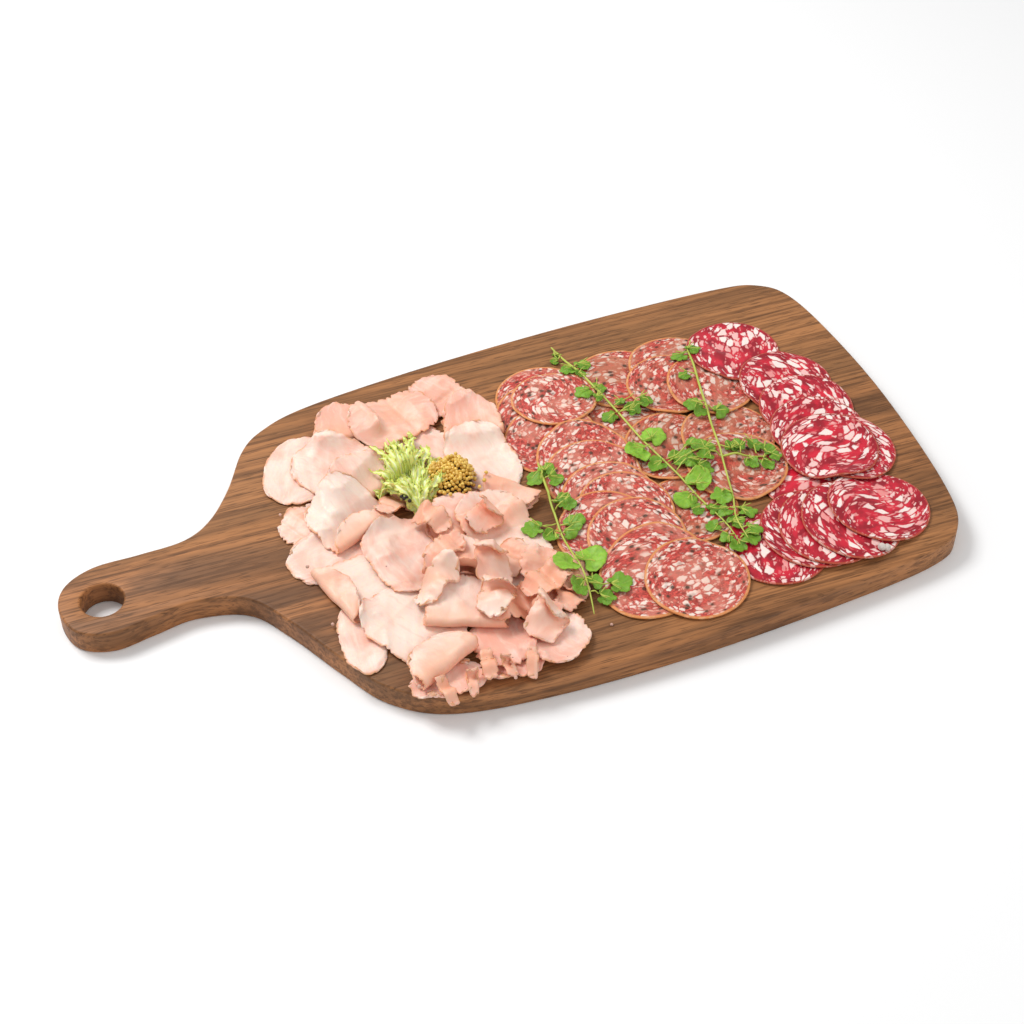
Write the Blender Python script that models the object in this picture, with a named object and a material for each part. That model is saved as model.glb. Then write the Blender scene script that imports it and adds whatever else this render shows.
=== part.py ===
"""Charcuterie board: a walnut paddle board laid with sliced ham and two sorts of salami.

Frame: +X runs from the handle's end to the far end of the board, +Y to its back edge, +Z up.
The origin is under the middle of the board, on the surface that it rests on. Lengths in the
tables are millimetres, and every mesh is made in metres.

The slices are laid one after another. A grid of heights keeps the top of the pile, and each
new slice is a solid in its own folded shape that is draped over that grid.
"""
import math

import bmesh
import bpy
import numpy as np

MM = 0.001

# Board
BOARD_THICKNESS = 15.0
BEVEL_MIDDLE = 0.3
CUTTER_SHARE = 3.0
SHARP_ANGLE = 40.0
TINY = 1e-6
TOP_EDGE_ROUND = 2.4
BOTTOM_EDGE_ROUND = 1.4
OUTLINE_STEPS = 3
HOLE_CENTRE = (-231.0, 4.4)
HOLE_RADIUS = 12.0
HOLE_SIDES = 32
# Knots of the hand-shaped outline, from the handle's end along the back edge and round.
OUTLINE_KNOTS = [
    (-255.0, 5.0), (-249.0, 21.5), (-231.0, 31.0), (-204.0, 32.0), (-178.0, 34.0), (-160.5, 44.5),
    (-144.0, 66.0), (-128.0, 94.5), (-112.0, 108.5), (-84.0, 119.0), (-24.0, 127.5), (48.0, 133.5),
    (122.0, 136.8), (198.0, 137.0), (229.0, 131.5), (245.5, 110.5), (253.5, 52.0), (254.8, -8.0),
    (249.8, -78.0), (240.0, -110.0), (217.0, -123.5), (150.0, -131.8), (66.0, -137.5), (-12.0, -137.0),
    (-72.0, -129.5), (-103.0, -110.5), (-121.0, -81.0), (-139.0, -46.5), (-156.0, -23.0),
    (-184.0, -15.0), (-208.0, -18.5), (-231.0, -22.0), (-249.0, -14.0),
]

# Laying
CELL = 1.0
GRID_LOW = (-140.0, -150.0)
GRID_CELLS = (400, 290)
SLICE_GAP = 0.5
DRAPE_ROUNDS = 12
DRAPE_REACH = 2
LIFT_ROUNDS = 5
LIFT_REACH = 9.0
LIFT_SHARE = 0.5
UPRIGHT_AREA = 1e-9
EXTEND_ROUNDS = 3

# Salami
SALAMI_THICKNESS = 1.9
RIM_SIDES = 16
INNER_RING = 0.62

# Ham
HAM_THICKNESS = 1.7
HAM_ROWS = 5
PROFILE_STEPS = 400
END_WIDTH = 0.62
CORNER_ROUND = 0.10
CORNER_LIMIT = 0.6
PIECE_LENGTH = 16.0
RIPPLE_ALONG = 9.0
RIPPLE_ACROSS = 2.2

# (x, y, long radius, short radius, turn in degrees), from the lowest slice to the top one.
PEPPERED_ROW = [
    (56, 75, 29, 28, 20), (50, 59, 29, 28, 60), (47, 35, 29, 28, 10),
    (61, 67, 26.5, 25, 0), (59, 14, 29, 28, 40), (58, -3, 29, 28, 0), (60, -24, 29, 28.5, 30),
    (65, -36, 29, 28, 70), (48, -47, 29, 28, 0), (62, -59, 29, 28, 15), (61, -86, 36, 29, 33),
    (81, -99, 30, 28.5, 10),
]
PEPPERED_SPREAD = [
    (112, 6, 29.5, 28, 50), (108, 73, 29.5, 28, 0), (148, 3, 29, 28, 20), (141, -24, 30, 28, 0),
    (144, 74, 29, 27, 10), (135, 56, 29, 27, 0), (157, 48, 28, 27, 45),
]
RED_FAN = [
    (134, -92, 29.5, 28.5, 0), (158, -86, 31, 29, 80), (168, -88, 31, 29, 60), (182, -89, 31, 29, 70),
    (202, -84, 30, 29, 0),
]
RED_ROW = [
    (184, 73, 30, 29, 15), (202, 35, 29, 28, 0), (203, 9, 29.5, 28.5, 30), (200, -13, 29.5, 28.5, 0),
    (208, -34, 29.5, 28.5, 10), (198, -31, 29.5, 28, 0),
]

# Ham: name, (x, y), turn in degrees, length, width, folds, wave height. A fold is (place along
# the length from 0 to 1, degrees turned up and over, bend radius); a sheet runs along its turn.
HAM_SHEETS = [
    ("middle", (-32, 40), -78, 88, 60, [], 0.8),
    ("left_oval", (-101, 65), 62, 60, 42, [], 1.4),
    ("top_left", (-66, 94), -92, 66, 40, [(0.53, 174, 2.9)], 0.7),
    ("peak", (-3, 98), -60, 48, 38, [(0.28, -35, 3.0), (0.58, 60, 3.0)], 0.8),
    ("top_ridge", (-36, 86), 14, 66, 44,
     [(0.24, 36, 3.0), (0.42, -70, 3.0), (0.62, 70, 3.0), (0.78, -36, 3.0)], 0.6),
    ("right_dome", (8, 73), -100, 82, 38, [(0.54, 174, 3.0)], 0.7),
    ("left_low", (-106, -74), -96, 54, 26, [], 1.2),
    ("ragged_front", (-72, -119), -92, 30, 46, [(0.5, 25, 3.0)], 1.6),
    ("pink_strips", (-36, -121), -90, 28, 40, [(0.4, 30, 3.0)], 1.6),
    ("right_low", (-10, -110), -58, 52, 42, [(0.24, 40, 3.0)], 0.7),
    ("pink_flat", (-36, -104), -84, 42, 38, [], 1.4),
    ("left_crumple", (-110, 20), 28, 42, 30,
     [(0.25, 38, 2.6), (0.50, -76, 2.6), (0.76, 38, 2.6)], 0.6),
    ("left_speckled", (-100, -9), 8, 62, 44, [(0.8, 25, 3.0)], 1.3),
    ("left_rolled", (-91, -37), 196, 64, 48, [(0.74, 174, 2.8)], 0.6),
    ("right_flat", (3, 33), -82, 62, 42, [], 1.2),
    ("left_upper", (-84, 61), -52, 68, 50, [(0.72, 174, 2.8)], 0.6),
    ("left_fold", (-73, 38), -68, 58, 60, [(0.50, 174, 2.9)], 0.6),
    ("left_pale", (-89, 17), -66, 62, 48, [(0.73, 173, 2.8)], 0.6),
    ("right_roll", (5, -2), 49, 44, 36, [(0.5, 190, 3.2)], 0.6),
    ("kite", (-77, -75), -58, 66, 50, [(0.30, -25, 3.0), (0.74, 34, 3.0)], 0.9),
    ("roll", (-74, -103), -64, 52, 44, [(0.48, 190, 3.8)], 0.6),
    ("dished", (-60, -26), -80, 66, 54, [(0.18, -26, 4.0), (0.82, 34, 4.0)], 0.6),
    ("cone", (-33, -9), -46, 62, 42, [(0.5, 172, 3.0)], 0.6),
    ("centre", (-7, -36), -80, 84, 46,
     [(0.16, 40, 3.0), (0.28, -76, 3.0), (0.40, 36, 3.0)], 0.8),
    ("triangle", (-45, -72), -112, 72, 48, [(0.52, 173, 3.0)], 0.6),
    ("fan", (-40, -46), 62, 72, 42, [(0.34, 172, 3.2), (0.66, -168, 3.2)], 0.2),
    ("loops", (-15, -83), 4, 74, 32,
     [(0.15, 52, 3.0), (0.32, -100, 3.0), (0.50, 100, 3.0), (0.68, -100, 3.0), (0.85, 48, 3.0)], 0.5),
]

# Frisee and mustard: centre, radii, height, turn, rings and spokes of their meshes.
FRISEE = ((-44, 30), (17, 30), 11.0, -10)
MUSTARD = ((-20, 23), (13.5, 15.5), 12.5, 0)
MOUND_RINGS = 3
MOUND_SPOKES = 14
MOUND_EDGE = 1.0
LEAF_RUFFLE = 0.16
MOUND_LOBES = 5.0
MOUND_BUMPS = 7.0


def clear_scene():
    """Remove every object that the scene starts with."""
    for thing in list(bpy.data.objects):
        bpy.data.objects.remove(thing, do_unlink=True)


def make_material(name, colour, roughness):
    """A plain finish of one colour."""
    material = bpy.data.materials.new(name)
    material.use_nodes = True
    shader = material.node_tree.nodes["Principled BSDF"]
    shader.inputs["Base Color"].default_value = (*colour, 1.0)
    shader.inputs["Roughness"].default_value = roughness
    shader.inputs["Metallic"].default_value = 0.0
    return material


def add_object(name, vertices, faces, material):
    """Turn millimetre vertices and faces into a named, smooth-shaded object."""
    mesh = bpy.data.meshes.new(name)
    mesh.from_pydata((np.asarray(vertices) * MM).tolist(), [], [tuple(face) for face in faces])
    mesh.materials.append(material)
    mesh.shade_smooth()
    mesh.set_sharp_from_angle(angle=math.radians(SHARP_ANGLE))
    thing = bpy.data.objects.new(name, mesh)
    bpy.context.scene.collection.objects.link(thing)
    return thing


def through_knots(knots, steps):
    """Closed Catmull-Rom curve through the knots, with the given steps from knot to knot."""
    here = np.asarray(knots, dtype=float)
    before, after, beyond = np.roll(here, 1, 0), np.roll(here, -1, 0), np.roll(here, -2, 0)
    rows = []
    for t in np.arange(steps) / steps:
        rows.append(0.5 * (2.0 * here + (after - before) * t
                           + (2.0 * before - 5.0 * here + 4.0 * after - beyond) * t ** 2
                           + (3.0 * here - before - 3.0 * after + beyond) * t ** 3))
    return np.stack(rows, axis=1).reshape(-1, 2)


def inset_outline(outline, distance):
    """Move a closed clockwise outline inwards along its normals."""
    along = np.roll(outline, -1, 0) - np.roll(outline, 1, 0)
    inward = np.stack([along[:, 1], -along[:, 0]], axis=1)
    inward /= np.linalg.norm(inward, axis=1, keepdims=True)
    return outline + inward * distance


def build_board(material):
    """Board: its outline stacked in levels with rounded edges, and a round hole in the handle."""
    outline = through_knots(OUTLINE_KNOTS, OUTLINE_STEPS)
    high, low = TOP_EDGE_ROUND, BOTTOM_EDGE_ROUND
    levels = [
        (0.0, low), (low, 0.0), (BOARD_THICKNESS - high, 0.0),
        (BOARD_THICKNESS - BEVEL_MIDDLE * high, BEVEL_MIDDLE * high), (BOARD_THICKNESS, high),
    ]
    count = len(outline)
    rings = []
    for height, inset in levels:
        ring = inset_outline(outline, inset)
        rings.append(np.column_stack([ring, np.full(count, height)]))
    faces = [tuple(range(count))]
    for level in range(len(levels) - 1):
        for i in range(count):
            j = (i + 1) % count
            start = level * count
            faces.append((start + i, start + count + i, start + count + j, start + j))
    faces.append(tuple((len(levels) - 1) * count + i for i in reversed(range(count))))
    board = add_object("board", np.concatenate(rings), faces, material)

    cutter_mesh = bpy.data.meshes.new("hole_cutter")
    shape = bmesh.new()
    bmesh.ops.create_cone(shape, cap_ends=True, segments=HOLE_SIDES, radius1=HOLE_RADIUS * MM,
                          radius2=HOLE_RADIUS * MM, depth=CUTTER_SHARE * BOARD_THICKNESS * MM)
    shape.to_mesh(cutter_mesh)
    shape.free()
    cutter = bpy.data.objects.new("hole_cutter", cutter_mesh)
    cutter.location = (HOLE_CENTRE[0] * MM, HOLE_CENTRE[1] * MM, 0.5 * BOARD_THICKNESS * MM)
    cutter.hide_render = True
    cutter.display_type = 'WIRE'
    bpy.context.scene.collection.objects.link(cutter)
    drill = board.modifiers.new("hanging_hole", 'BOOLEAN')
    drill.operation = 'DIFFERENCE'
    drill.solver = 'EXACT'
    drill.object = cutter
    return board


def facet_cells(a, b, c):
    """The block of cells round a facet, which of them lie under it, and its height over each."""
    first = np.floor((np.minimum(np.minimum(a, b), c)[:2] - GRID_LOW) / CELL).astype(int)
    last = np.ceil((np.maximum(np.maximum(a, b), c)[:2] - GRID_LOW) / CELL).astype(int) + 1
    window = (slice(first[0], last[0]), slice(first[1], last[1]))
    area = (b[0] - a[0]) * (c[1] - a[1]) - (b[1] - a[1]) * (c[0] - a[0])
    if abs(area) < UPRIGHT_AREA:
        return window, None, None
    x = GRID_LOW[0] + CELL * np.arange(first[0], last[0])[:, None]
    y = GRID_LOW[1] + CELL * np.arange(first[1], last[1])[None, :]
    s = ((x - a[0]) * (c[1] - a[1]) - (y - a[1]) * (c[0] - a[0])) / area
    t = ((b[0] - a[0]) * (y - a[1]) - (b[1] - a[1]) * (x - a[0])) / area
    inside = (s >= 0.0) & (t >= 0.0) & (s + t <= 1.0)
    return window, inside, a[2] + s * (b[2] - a[2]) + t * (c[2] - a[2])


class Pile:
    """Heights of the pile's top on a grid of square cells over the board."""

    def __init__(self):
        self.height = np.full(GRID_CELLS, BOARD_THICKNESS)

    def envelope(self, vertices, triangles):
        """Lowest and highest height of a solid over each cell's middle, by plane equations."""
        low = np.full(GRID_CELLS, np.inf)
        high = np.full(GRID_CELLS, -np.inf)
        for corners in triangles:
            window, inside, z = facet_cells(*vertices[corners])
            if inside is not None:
                low[window] = np.where(inside, np.minimum(low[window], z), low[window])
                high[window] = np.where(inside, np.maximum(high[window], z), high[window])
        return low, high

    def drape(self, low):
        """How far each cell of a sheet rises, for a sheet whose own underside is at low.

        It starts in full contact with the pile. Each round then replaces every cell by the
        mean of its neighbourhood where that is higher, so the sheet spans hollows and slopes
        gently down the steps in the pile, as one that is limp but not slack does.
        """
        covered = np.isfinite(low)
        contact = np.where(covered, self.height + SLICE_GAP - low, 0.0)
        rise = contact.copy()
        share = np.maximum(neighbourhood(covered.astype(float)), TINY)
        for _ in range(DRAPE_ROUNDS):
            mean = neighbourhood(np.where(covered, rise, 0.0)) / share
            rise = np.where(covered, np.maximum(contact, mean), 0.0)
        return rise, covered

    def facet_shortfalls(self, vertices, triangles):
        """How far each facet would have to rise to clear the pile."""
        found = np.zeros(len(triangles))
        for number, corners in enumerate(triangles):
            window, inside, z = facet_cells(*vertices[corners])
            if inside is not None and inside.any():
                found[number] = np.max((self.height[window] + SLICE_GAP - z)[inside])
        return found

    def lay(self, vertices, triangles):
        """Drape a solid over the pile, then add it to the pile.

        Every layer of a folded sheet rises by the same amount over the same spot. The corners
        of a facet that still cuts into the pile then rise, with those near them.
        """
        low, _ = self.envelope(vertices, triangles)
        rise, covered = self.drape(low)
        laid = vertices.copy()
        laid[:, 2] += read_field(extended(rise, covered), vertices[:, :2])
        apart = np.linalg.norm(vertices[:, None, :2] - vertices[None, :, :2], axis=2)
        near = apart < LIFT_REACH
        for _ in range(LIFT_ROUNDS):
            short = np.maximum(self.facet_shortfalls(laid, triangles), 0.0)
            lift = np.zeros(len(laid))
            np.maximum.at(lift, triangles.ravel(), np.repeat(short, 3))
            laid[:, 2] += LIFT_SHARE * np.where(near, lift[None, :], 0.0).max(axis=1)
        laid[:, 2] += self.facet_shortfalls(laid, triangles).max()
        _, high = self.envelope(laid, triangles)
        self.height = np.maximum(self.height, widened(high))
        return laid


def extended(field, covered):
    """A field that is known on the covered cells, carried on a few cells past their border."""
    for _ in range(EXTEND_ROUNDS):
        share = neighbourhood(covered.astype(float))
        mean = neighbourhood(np.where(covered, field, 0.0)) / np.maximum(share, TINY)
        field = np.where(covered, field, mean)
        covered = covered | (share > TINY)
    return field


def read_field(field, spots):
    """Read a field between its cells, in proportion to how near each of the four is."""
    place = (spots - GRID_LOW) / CELL
    first = np.clip(np.floor(place).astype(int), 0, np.array(GRID_CELLS) - 2)
    x, y = (place - first).T
    i, j = first.T
    return ((1.0 - x) * (1.0 - y) * field[i, j] + x * (1.0 - y) * field[i + 1, j]
            + (1.0 - x) * y * field[i, j + 1] + x * y * field[i + 1, j + 1])


def widened(field):
    """The highest of each cell and its eight neighbours."""
    for axis in (0, 1):
        field = np.maximum(field, np.maximum(np.roll(field, 1, axis), np.roll(field, -1, axis)))
    return field


def neighbourhood(field):
    """Mean of each cell and the cells within a few of it, first along x and then along y."""
    for axis in (0, 1):
        field = sum(np.roll(field, step, axis) for step in range(-DRAPE_REACH, DRAPE_REACH + 1))
        field /= 2 * DRAPE_REACH + 1
    return field


def turned(spots, degrees, centre):
    """Turn plan positions about the origin and move them to a centre."""
    angle = math.radians(degrees)
    x, y = spots[..., 0], spots[..., 1]
    return np.stack([centre[0] + x * math.cos(angle) - y * math.sin(angle),
                     centre[1] + x * math.sin(angle) + y * math.cos(angle)], axis=-1)


def ring_faces(rings, spokes):
    """Triangles of a disc: a middle point 0, then rings of the given numbers of points."""
    faces = [(0, 1 + i, 1 + (i + 1) % spokes) for i in range(spokes)]
    start = 1
    for _ in range(rings - 1):
        for i in range(spokes):
            j = (i + 1) % spokes
            faces.append((start + i, start + spokes + i, start + spokes + j))
            faces.append((start + i, start + spokes + j, start + j))
        start += spokes
    return faces


def slice_faces():
    """Triangles of a slice's face: middle point, a ring of half the sides, and the rim."""
    half = RIM_SIDES // 2
    faces = [(0, 1 + i, 1 + (i + 1) % half) for i in range(half)]
    for i in range(half):
        inner, inner_next = 1 + i, 1 + (i + 1) % half
        rim = [1 + half + (2 * i + k) % RIM_SIDES for k in range(3)]
        faces.append((inner, rim[0], rim[1]))
        faces.append((inner, rim[1], inner_next))
        faces.append((inner_next, rim[1], rim[2]))
    return faces


def closed_solid(upper, lower, faces, border):
    """Join an upper and a lower surface of the same faces along their border."""
    count = len(upper)
    shell = list(faces) + [(a + count, c + count, b + count) for a, b, c in faces]
    for i, here in enumerate(border):
        after = border[(i + 1) % len(border)]
        shell.append((here, here + count, after + count))
        shell.append((here, after + count, after))
    return np.concatenate([upper, lower]), np.array(shell)


def salami_slice(x, y, long_radius, short_radius, turn):
    """A round to oval slice of even thickness, flat, ready to be laid."""
    half = RIM_SIDES // 2
    around = 2.0 * math.pi * np.arange(half) / half
    rim = 2.0 * math.pi * np.arange(RIM_SIDES) / RIM_SIDES
    angle = np.concatenate([[0.0], around, rim])
    share = np.concatenate([[0.0], np.full(half, INNER_RING), np.ones(RIM_SIDES)])
    flat = np.stack([share * long_radius * np.cos(angle), share * short_radius * np.sin(angle)], axis=1)
    spots = turned(flat, turn, (x, y))
    upper = np.column_stack([spots, np.full(len(spots), SALAMI_THICKNESS)])
    lower = np.column_stack([spots, np.zeros(len(spots))])
    border = [1 + half + i for i in range(RIM_SIDES)]
    return closed_solid(upper, lower, slice_faces(), border)


def ham_stations(length, folds):
    """Places along a sheet, from 0 to 1: its ends, three in each bend, and the flats between."""
    marks = {0.0, 1.0}
    edges = [0.0]
    for place, degrees, radius in folds:
        half_bend = 0.5 * abs(math.radians(degrees)) * radius / length
        marks.update((place - half_bend, place, place + half_bend))
        if abs(degrees) > 90:
            marks.update((place - 0.5 * half_bend, place + 0.5 * half_bend))
        edges += [place - half_bend, place + half_bend]
    edges.append(1.0)
    for start, end in zip(edges[::2], edges[1::2]):
        pieces = max(1, round((end - start) * length / PIECE_LENGTH))
        marks.update(start + (end - start) * k / pieces for k in range(1, pieces))
    return np.array(sorted(marks))


def flat_ends(length, folds):
    """Where the first fold starts and the last one ends, or the middle of a sheet with none."""
    if not folds:
        return 0.5, 0.5
    edges = [(place, 0.5 * abs(math.radians(degrees)) * radius / length) for place, degrees, radius in folds]
    return edges[0][0] - edges[0][1], edges[-1][0] + edges[-1][1]


def ham_surface(length, width, folds, wave, stations, rows):
    """Middle surface of a folded sheet, on a grid of stations along it and rows across it.

    The sheet's heading starts level and turns smoothly by each fold's angle within its bend,
    so the profile is the running sum of the heading's cosine and sine. Across, the sheet is
    widest at the middle of its length and narrower at both ends, its corners are drawn in
    along the profile, and low waves cross it.
    """
    path = (np.arange(PROFILE_STEPS) + 0.5) / PROFILE_STEPS
    heading = np.zeros(PROFILE_STEPS)
    for place, degrees, radius in folds:
        bend = abs(math.radians(degrees)) * radius / length
        share = np.clip((path - place) / bend + 0.5, 0.0, 1.0)
        heading += math.radians(degrees) * share
    step = length / PROFILE_STEPS
    marks = np.linspace(0.0, 1.0, PROFILE_STEPS + 1)
    run = np.concatenate([[0.0], np.cumsum(np.cos(heading)) * step])
    rise = np.concatenate([[0.0], np.cumsum(np.sin(heading)) * step])
    run -= 0.5 * (run.min() + run.max())
    stations, rows = stations[:, None], rows[None, :]
    first, last = flat_ends(length, folds)
    before, beyond = stations / first, (1.0 - stations) / (1.0 - last)
    start_draw = min(CORNER_ROUND, CORNER_LIMIT * first) * np.clip(1.0 - before, 0.0, 1.0)
    end_draw = min(CORNER_ROUND, CORNER_LIMIT * (1.0 - last)) * np.clip(1.0 - beyond, 0.0, 1.0)
    spot = stations + rows ** 2 * (start_draw - end_draw)
    roundness = np.sqrt(np.clip(1.0 - (2.0 * stations - 1.0) ** 2, 0.0, 1.0))
    across = 0.5 * width * (END_WIDTH + (1.0 - END_WIDTH) * roundness) * rows
    ripple = wave * np.sin(RIPPLE_ALONG * stations + RIPPLE_ACROSS * rows) * np.abs(rows)
    return np.stack([np.interp(spot, marks, run), across, np.interp(spot, marks, rise) + ripple], axis=-1)


def ham_slice(centre, turn, length, width, folds, wave):
    """A folded sheet with a thickness, as a closed solid ready to be laid."""
    stations = ham_stations(length, folds)
    rows = np.linspace(-1.0, 1.0, HAM_ROWS)
    middle = ham_surface(length, width, folds, wave, stations, rows)
    normal = np.cross(np.gradient(middle, axis=0), np.gradient(middle, axis=1))
    normal /= np.linalg.norm(normal, axis=-1, keepdims=True)
    upper = middle + 0.5 * HAM_THICKNESS * normal
    lower = middle - 0.5 * HAM_THICKNESS * normal
    for face in (upper, lower):
        face[..., :2] = turned(face[..., :2], turn, centre)
    across = len(rows)
    index = np.arange(middle.shape[0] * across).reshape(-1, across)
    a, b, c, d = index[:-1, :-1], index[1:, :-1], index[1:, 1:], index[:-1, 1:]
    faces = np.concatenate([np.stack([a, b, c], -1).reshape(-1, 3), np.stack([a, c, d], -1).reshape(-1, 3)])
    border = list(index[:, 0]) + list(index[-1, 1:]) + list(index[-2::-1, -1]) + list(index[0, -2:0:-1])
    return closed_solid(upper.reshape(-1, 3), lower.reshape(-1, 3), faces.tolist(), border)


def mound(centre, radii, height, turn, ruffle):
    """A heap: a dome over an oval whose rim and top rise and fall by the ruffle's share."""
    angle = 2.0 * math.pi * np.arange(MOUND_SPOKES) / MOUND_SPOKES
    share = np.concatenate([[0.0], np.repeat(np.arange(1, MOUND_RINGS + 1) / MOUND_RINGS, MOUND_SPOKES)])
    around = np.concatenate([[0.0], np.tile(angle, MOUND_RINGS)])
    uneven = 1.0 + ruffle * np.sin(MOUND_LOBES * around + 1.0) * share
    flat = np.stack([share * radii[0] * np.cos(around), share * radii[1] * np.sin(around)], axis=1)
    spots = turned(flat * uneven[:, None], turn, centre)
    dome = MOUND_EDGE + (height - MOUND_EDGE) * np.sqrt(1.0 - share ** 2)
    dome *= 1.0 + ruffle * np.sin(MOUND_BUMPS * around) * share * (1.0 - share) * 2.0
    upper = np.column_stack([spots, dome])
    lower = np.column_stack([spots, np.zeros(len(spots))])
    last = 1 + (MOUND_RINGS - 1) * MOUND_SPOKES
    border = [last + i for i in range(MOUND_SPOKES)]
    return closed_solid(upper, lower, ring_faces(MOUND_RINGS, MOUND_SPOKES), border)


def lay_and_add(pile, name, solid, material):
    """Lay one solid on the pile and add it to the scene."""
    vertices, triangles = solid
    laid = pile.lay(vertices, triangles)
    return add_object(name, laid, triangles.tolist(), material)


def main():
    """Build the board, then lay every slice, the frisee and the mustard on it."""
    clear_scene()
    walnut = make_material("walnut", (0.19, 0.085, 0.042), 0.45)
    peppered = make_material("peppered_salami", (0.46, 0.09, 0.08), 0.4)
    red = make_material("red_salami", (0.42, 0.03, 0.05), 0.35)
    ham = make_material("ham", (0.87, 0.62, 0.53), 0.4)
    leaf = make_material("frisee_leaf", (0.50, 0.62, 0.12), 0.45)
    seed = make_material("mustard_seed", (0.50, 0.27, 0.04), 0.4)

    build_board(walnut)
    pile = Pile()
    rows = [
        ("peppered_spread", PEPPERED_SPREAD, peppered),
        ("red_fan", RED_FAN, red),
        ("red_row", RED_ROW, red),
        ("peppered_row", PEPPERED_ROW, peppered),
    ]
    for name, places, material in rows:
        for number, place in enumerate(places, start=1):
            solid = salami_slice(*place)
            lay_and_add(pile, f"{name}_{number:02d}", solid, material)
    for name, centre, turn, length, width, folds, wave in HAM_SHEETS:
        solid = ham_slice(centre, turn, length, width, folds, wave)
        lay_and_add(pile, f"ham_{name}", solid, ham)
    lay_and_add(pile, "frisee", mound(*FRISEE, LEAF_RUFFLE), leaf)
    lay_and_add(pile, "mustard_seeds", mound(*MUSTARD, 0.0), seed)


main()
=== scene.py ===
"""Charcuterie board: the finished surfaces of the walnut board and of the food laid on it.

Lengths in the tables are millimetres, and every mesh is made in metres, in the frame's own
axes: +X from the handle to the far end, +Y to the back edge, +Z up.

The slices are thin sheets with a shape of their own, laid one after another. A grid of
heights keeps the top of the pile, and each new sheet is draped over that grid.
"""

import math

import bpy
import mathutils
import numpy as np
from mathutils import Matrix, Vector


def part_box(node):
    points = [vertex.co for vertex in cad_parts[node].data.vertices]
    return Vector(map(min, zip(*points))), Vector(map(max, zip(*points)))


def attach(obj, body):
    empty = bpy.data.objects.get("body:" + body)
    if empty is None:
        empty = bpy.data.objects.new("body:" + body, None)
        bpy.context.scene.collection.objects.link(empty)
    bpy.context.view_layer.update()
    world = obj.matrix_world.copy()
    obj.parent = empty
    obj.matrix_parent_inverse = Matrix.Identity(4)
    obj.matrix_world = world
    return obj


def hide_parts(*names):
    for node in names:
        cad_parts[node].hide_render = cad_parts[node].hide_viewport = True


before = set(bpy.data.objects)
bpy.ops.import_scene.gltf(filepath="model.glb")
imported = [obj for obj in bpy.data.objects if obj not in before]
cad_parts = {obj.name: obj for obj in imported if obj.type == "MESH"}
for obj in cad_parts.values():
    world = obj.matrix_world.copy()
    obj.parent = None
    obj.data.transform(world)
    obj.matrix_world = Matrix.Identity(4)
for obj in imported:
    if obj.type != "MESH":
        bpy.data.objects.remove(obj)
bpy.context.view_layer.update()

bl_info = {
    "name": "Charcuterie board",
    "version": (1, 0, 0),
    "blender": (4, 5, 0),
    "location": "View3D > Sidebar > Board",
    "description": "Builds a walnut board laid with ham, salami, herbs, leaf and mustard seeds",
    "category": "Add Mesh",
}

MM = 0.001
TINY = 1e-9
FULL_TURN = 2.0 * math.pi
LARGEST_PHASE = 6.28

# Board
FACE_ANGLE = math.radians(35.0)
OUTLINE_KNOTS = [
    (-255.0, 5.0), (-249.0, 21.5), (-231.0, 31.0), (-204.0, 32.0), (-178.0, 34.0), (-160.5, 44.5),
    (-144.0, 66.0), (-128.0, 94.5), (-112.0, 108.5), (-84.0, 119.0), (-24.0, 127.5), (48.0, 133.5),
    (122.0, 136.8), (198.0, 137.0), (229.0, 131.5), (245.5, 110.5), (253.5, 52.0), (254.8, -8.0),
    (249.8, -78.0), (240.0, -110.0), (217.0, -123.5), (150.0, -131.8), (66.0, -137.5), (-12.0, -137.0),
    (-72.0, -129.5), (-103.0, -110.5), (-121.0, -81.0), (-139.0, -46.5), (-156.0, -23.0),
    (-184.0, -15.0), (-208.0, -18.5), (-231.0, -22.0), (-249.0, -14.0),
]
OUTLINE_STEPS = 12
EDGE_STEPS = 6
HOLE_CENTRE = (-231.0, 4.4)
HOLE_RADIUS = 12.0
HOLE_SIDES = 96

# Laying
CELL = 1.0
GRID_LOW = np.array((-140.0, -150.0))
GRID_CELLS = (400, 290)
DRAPE_REACH = 2
SLICE_GAP = 0.25
LEAF_GAP = 0.3
SALAMI_ROUNDS = 16
HAM_ROUNDS = 10
LEAF_ROUNDS = 6

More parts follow.
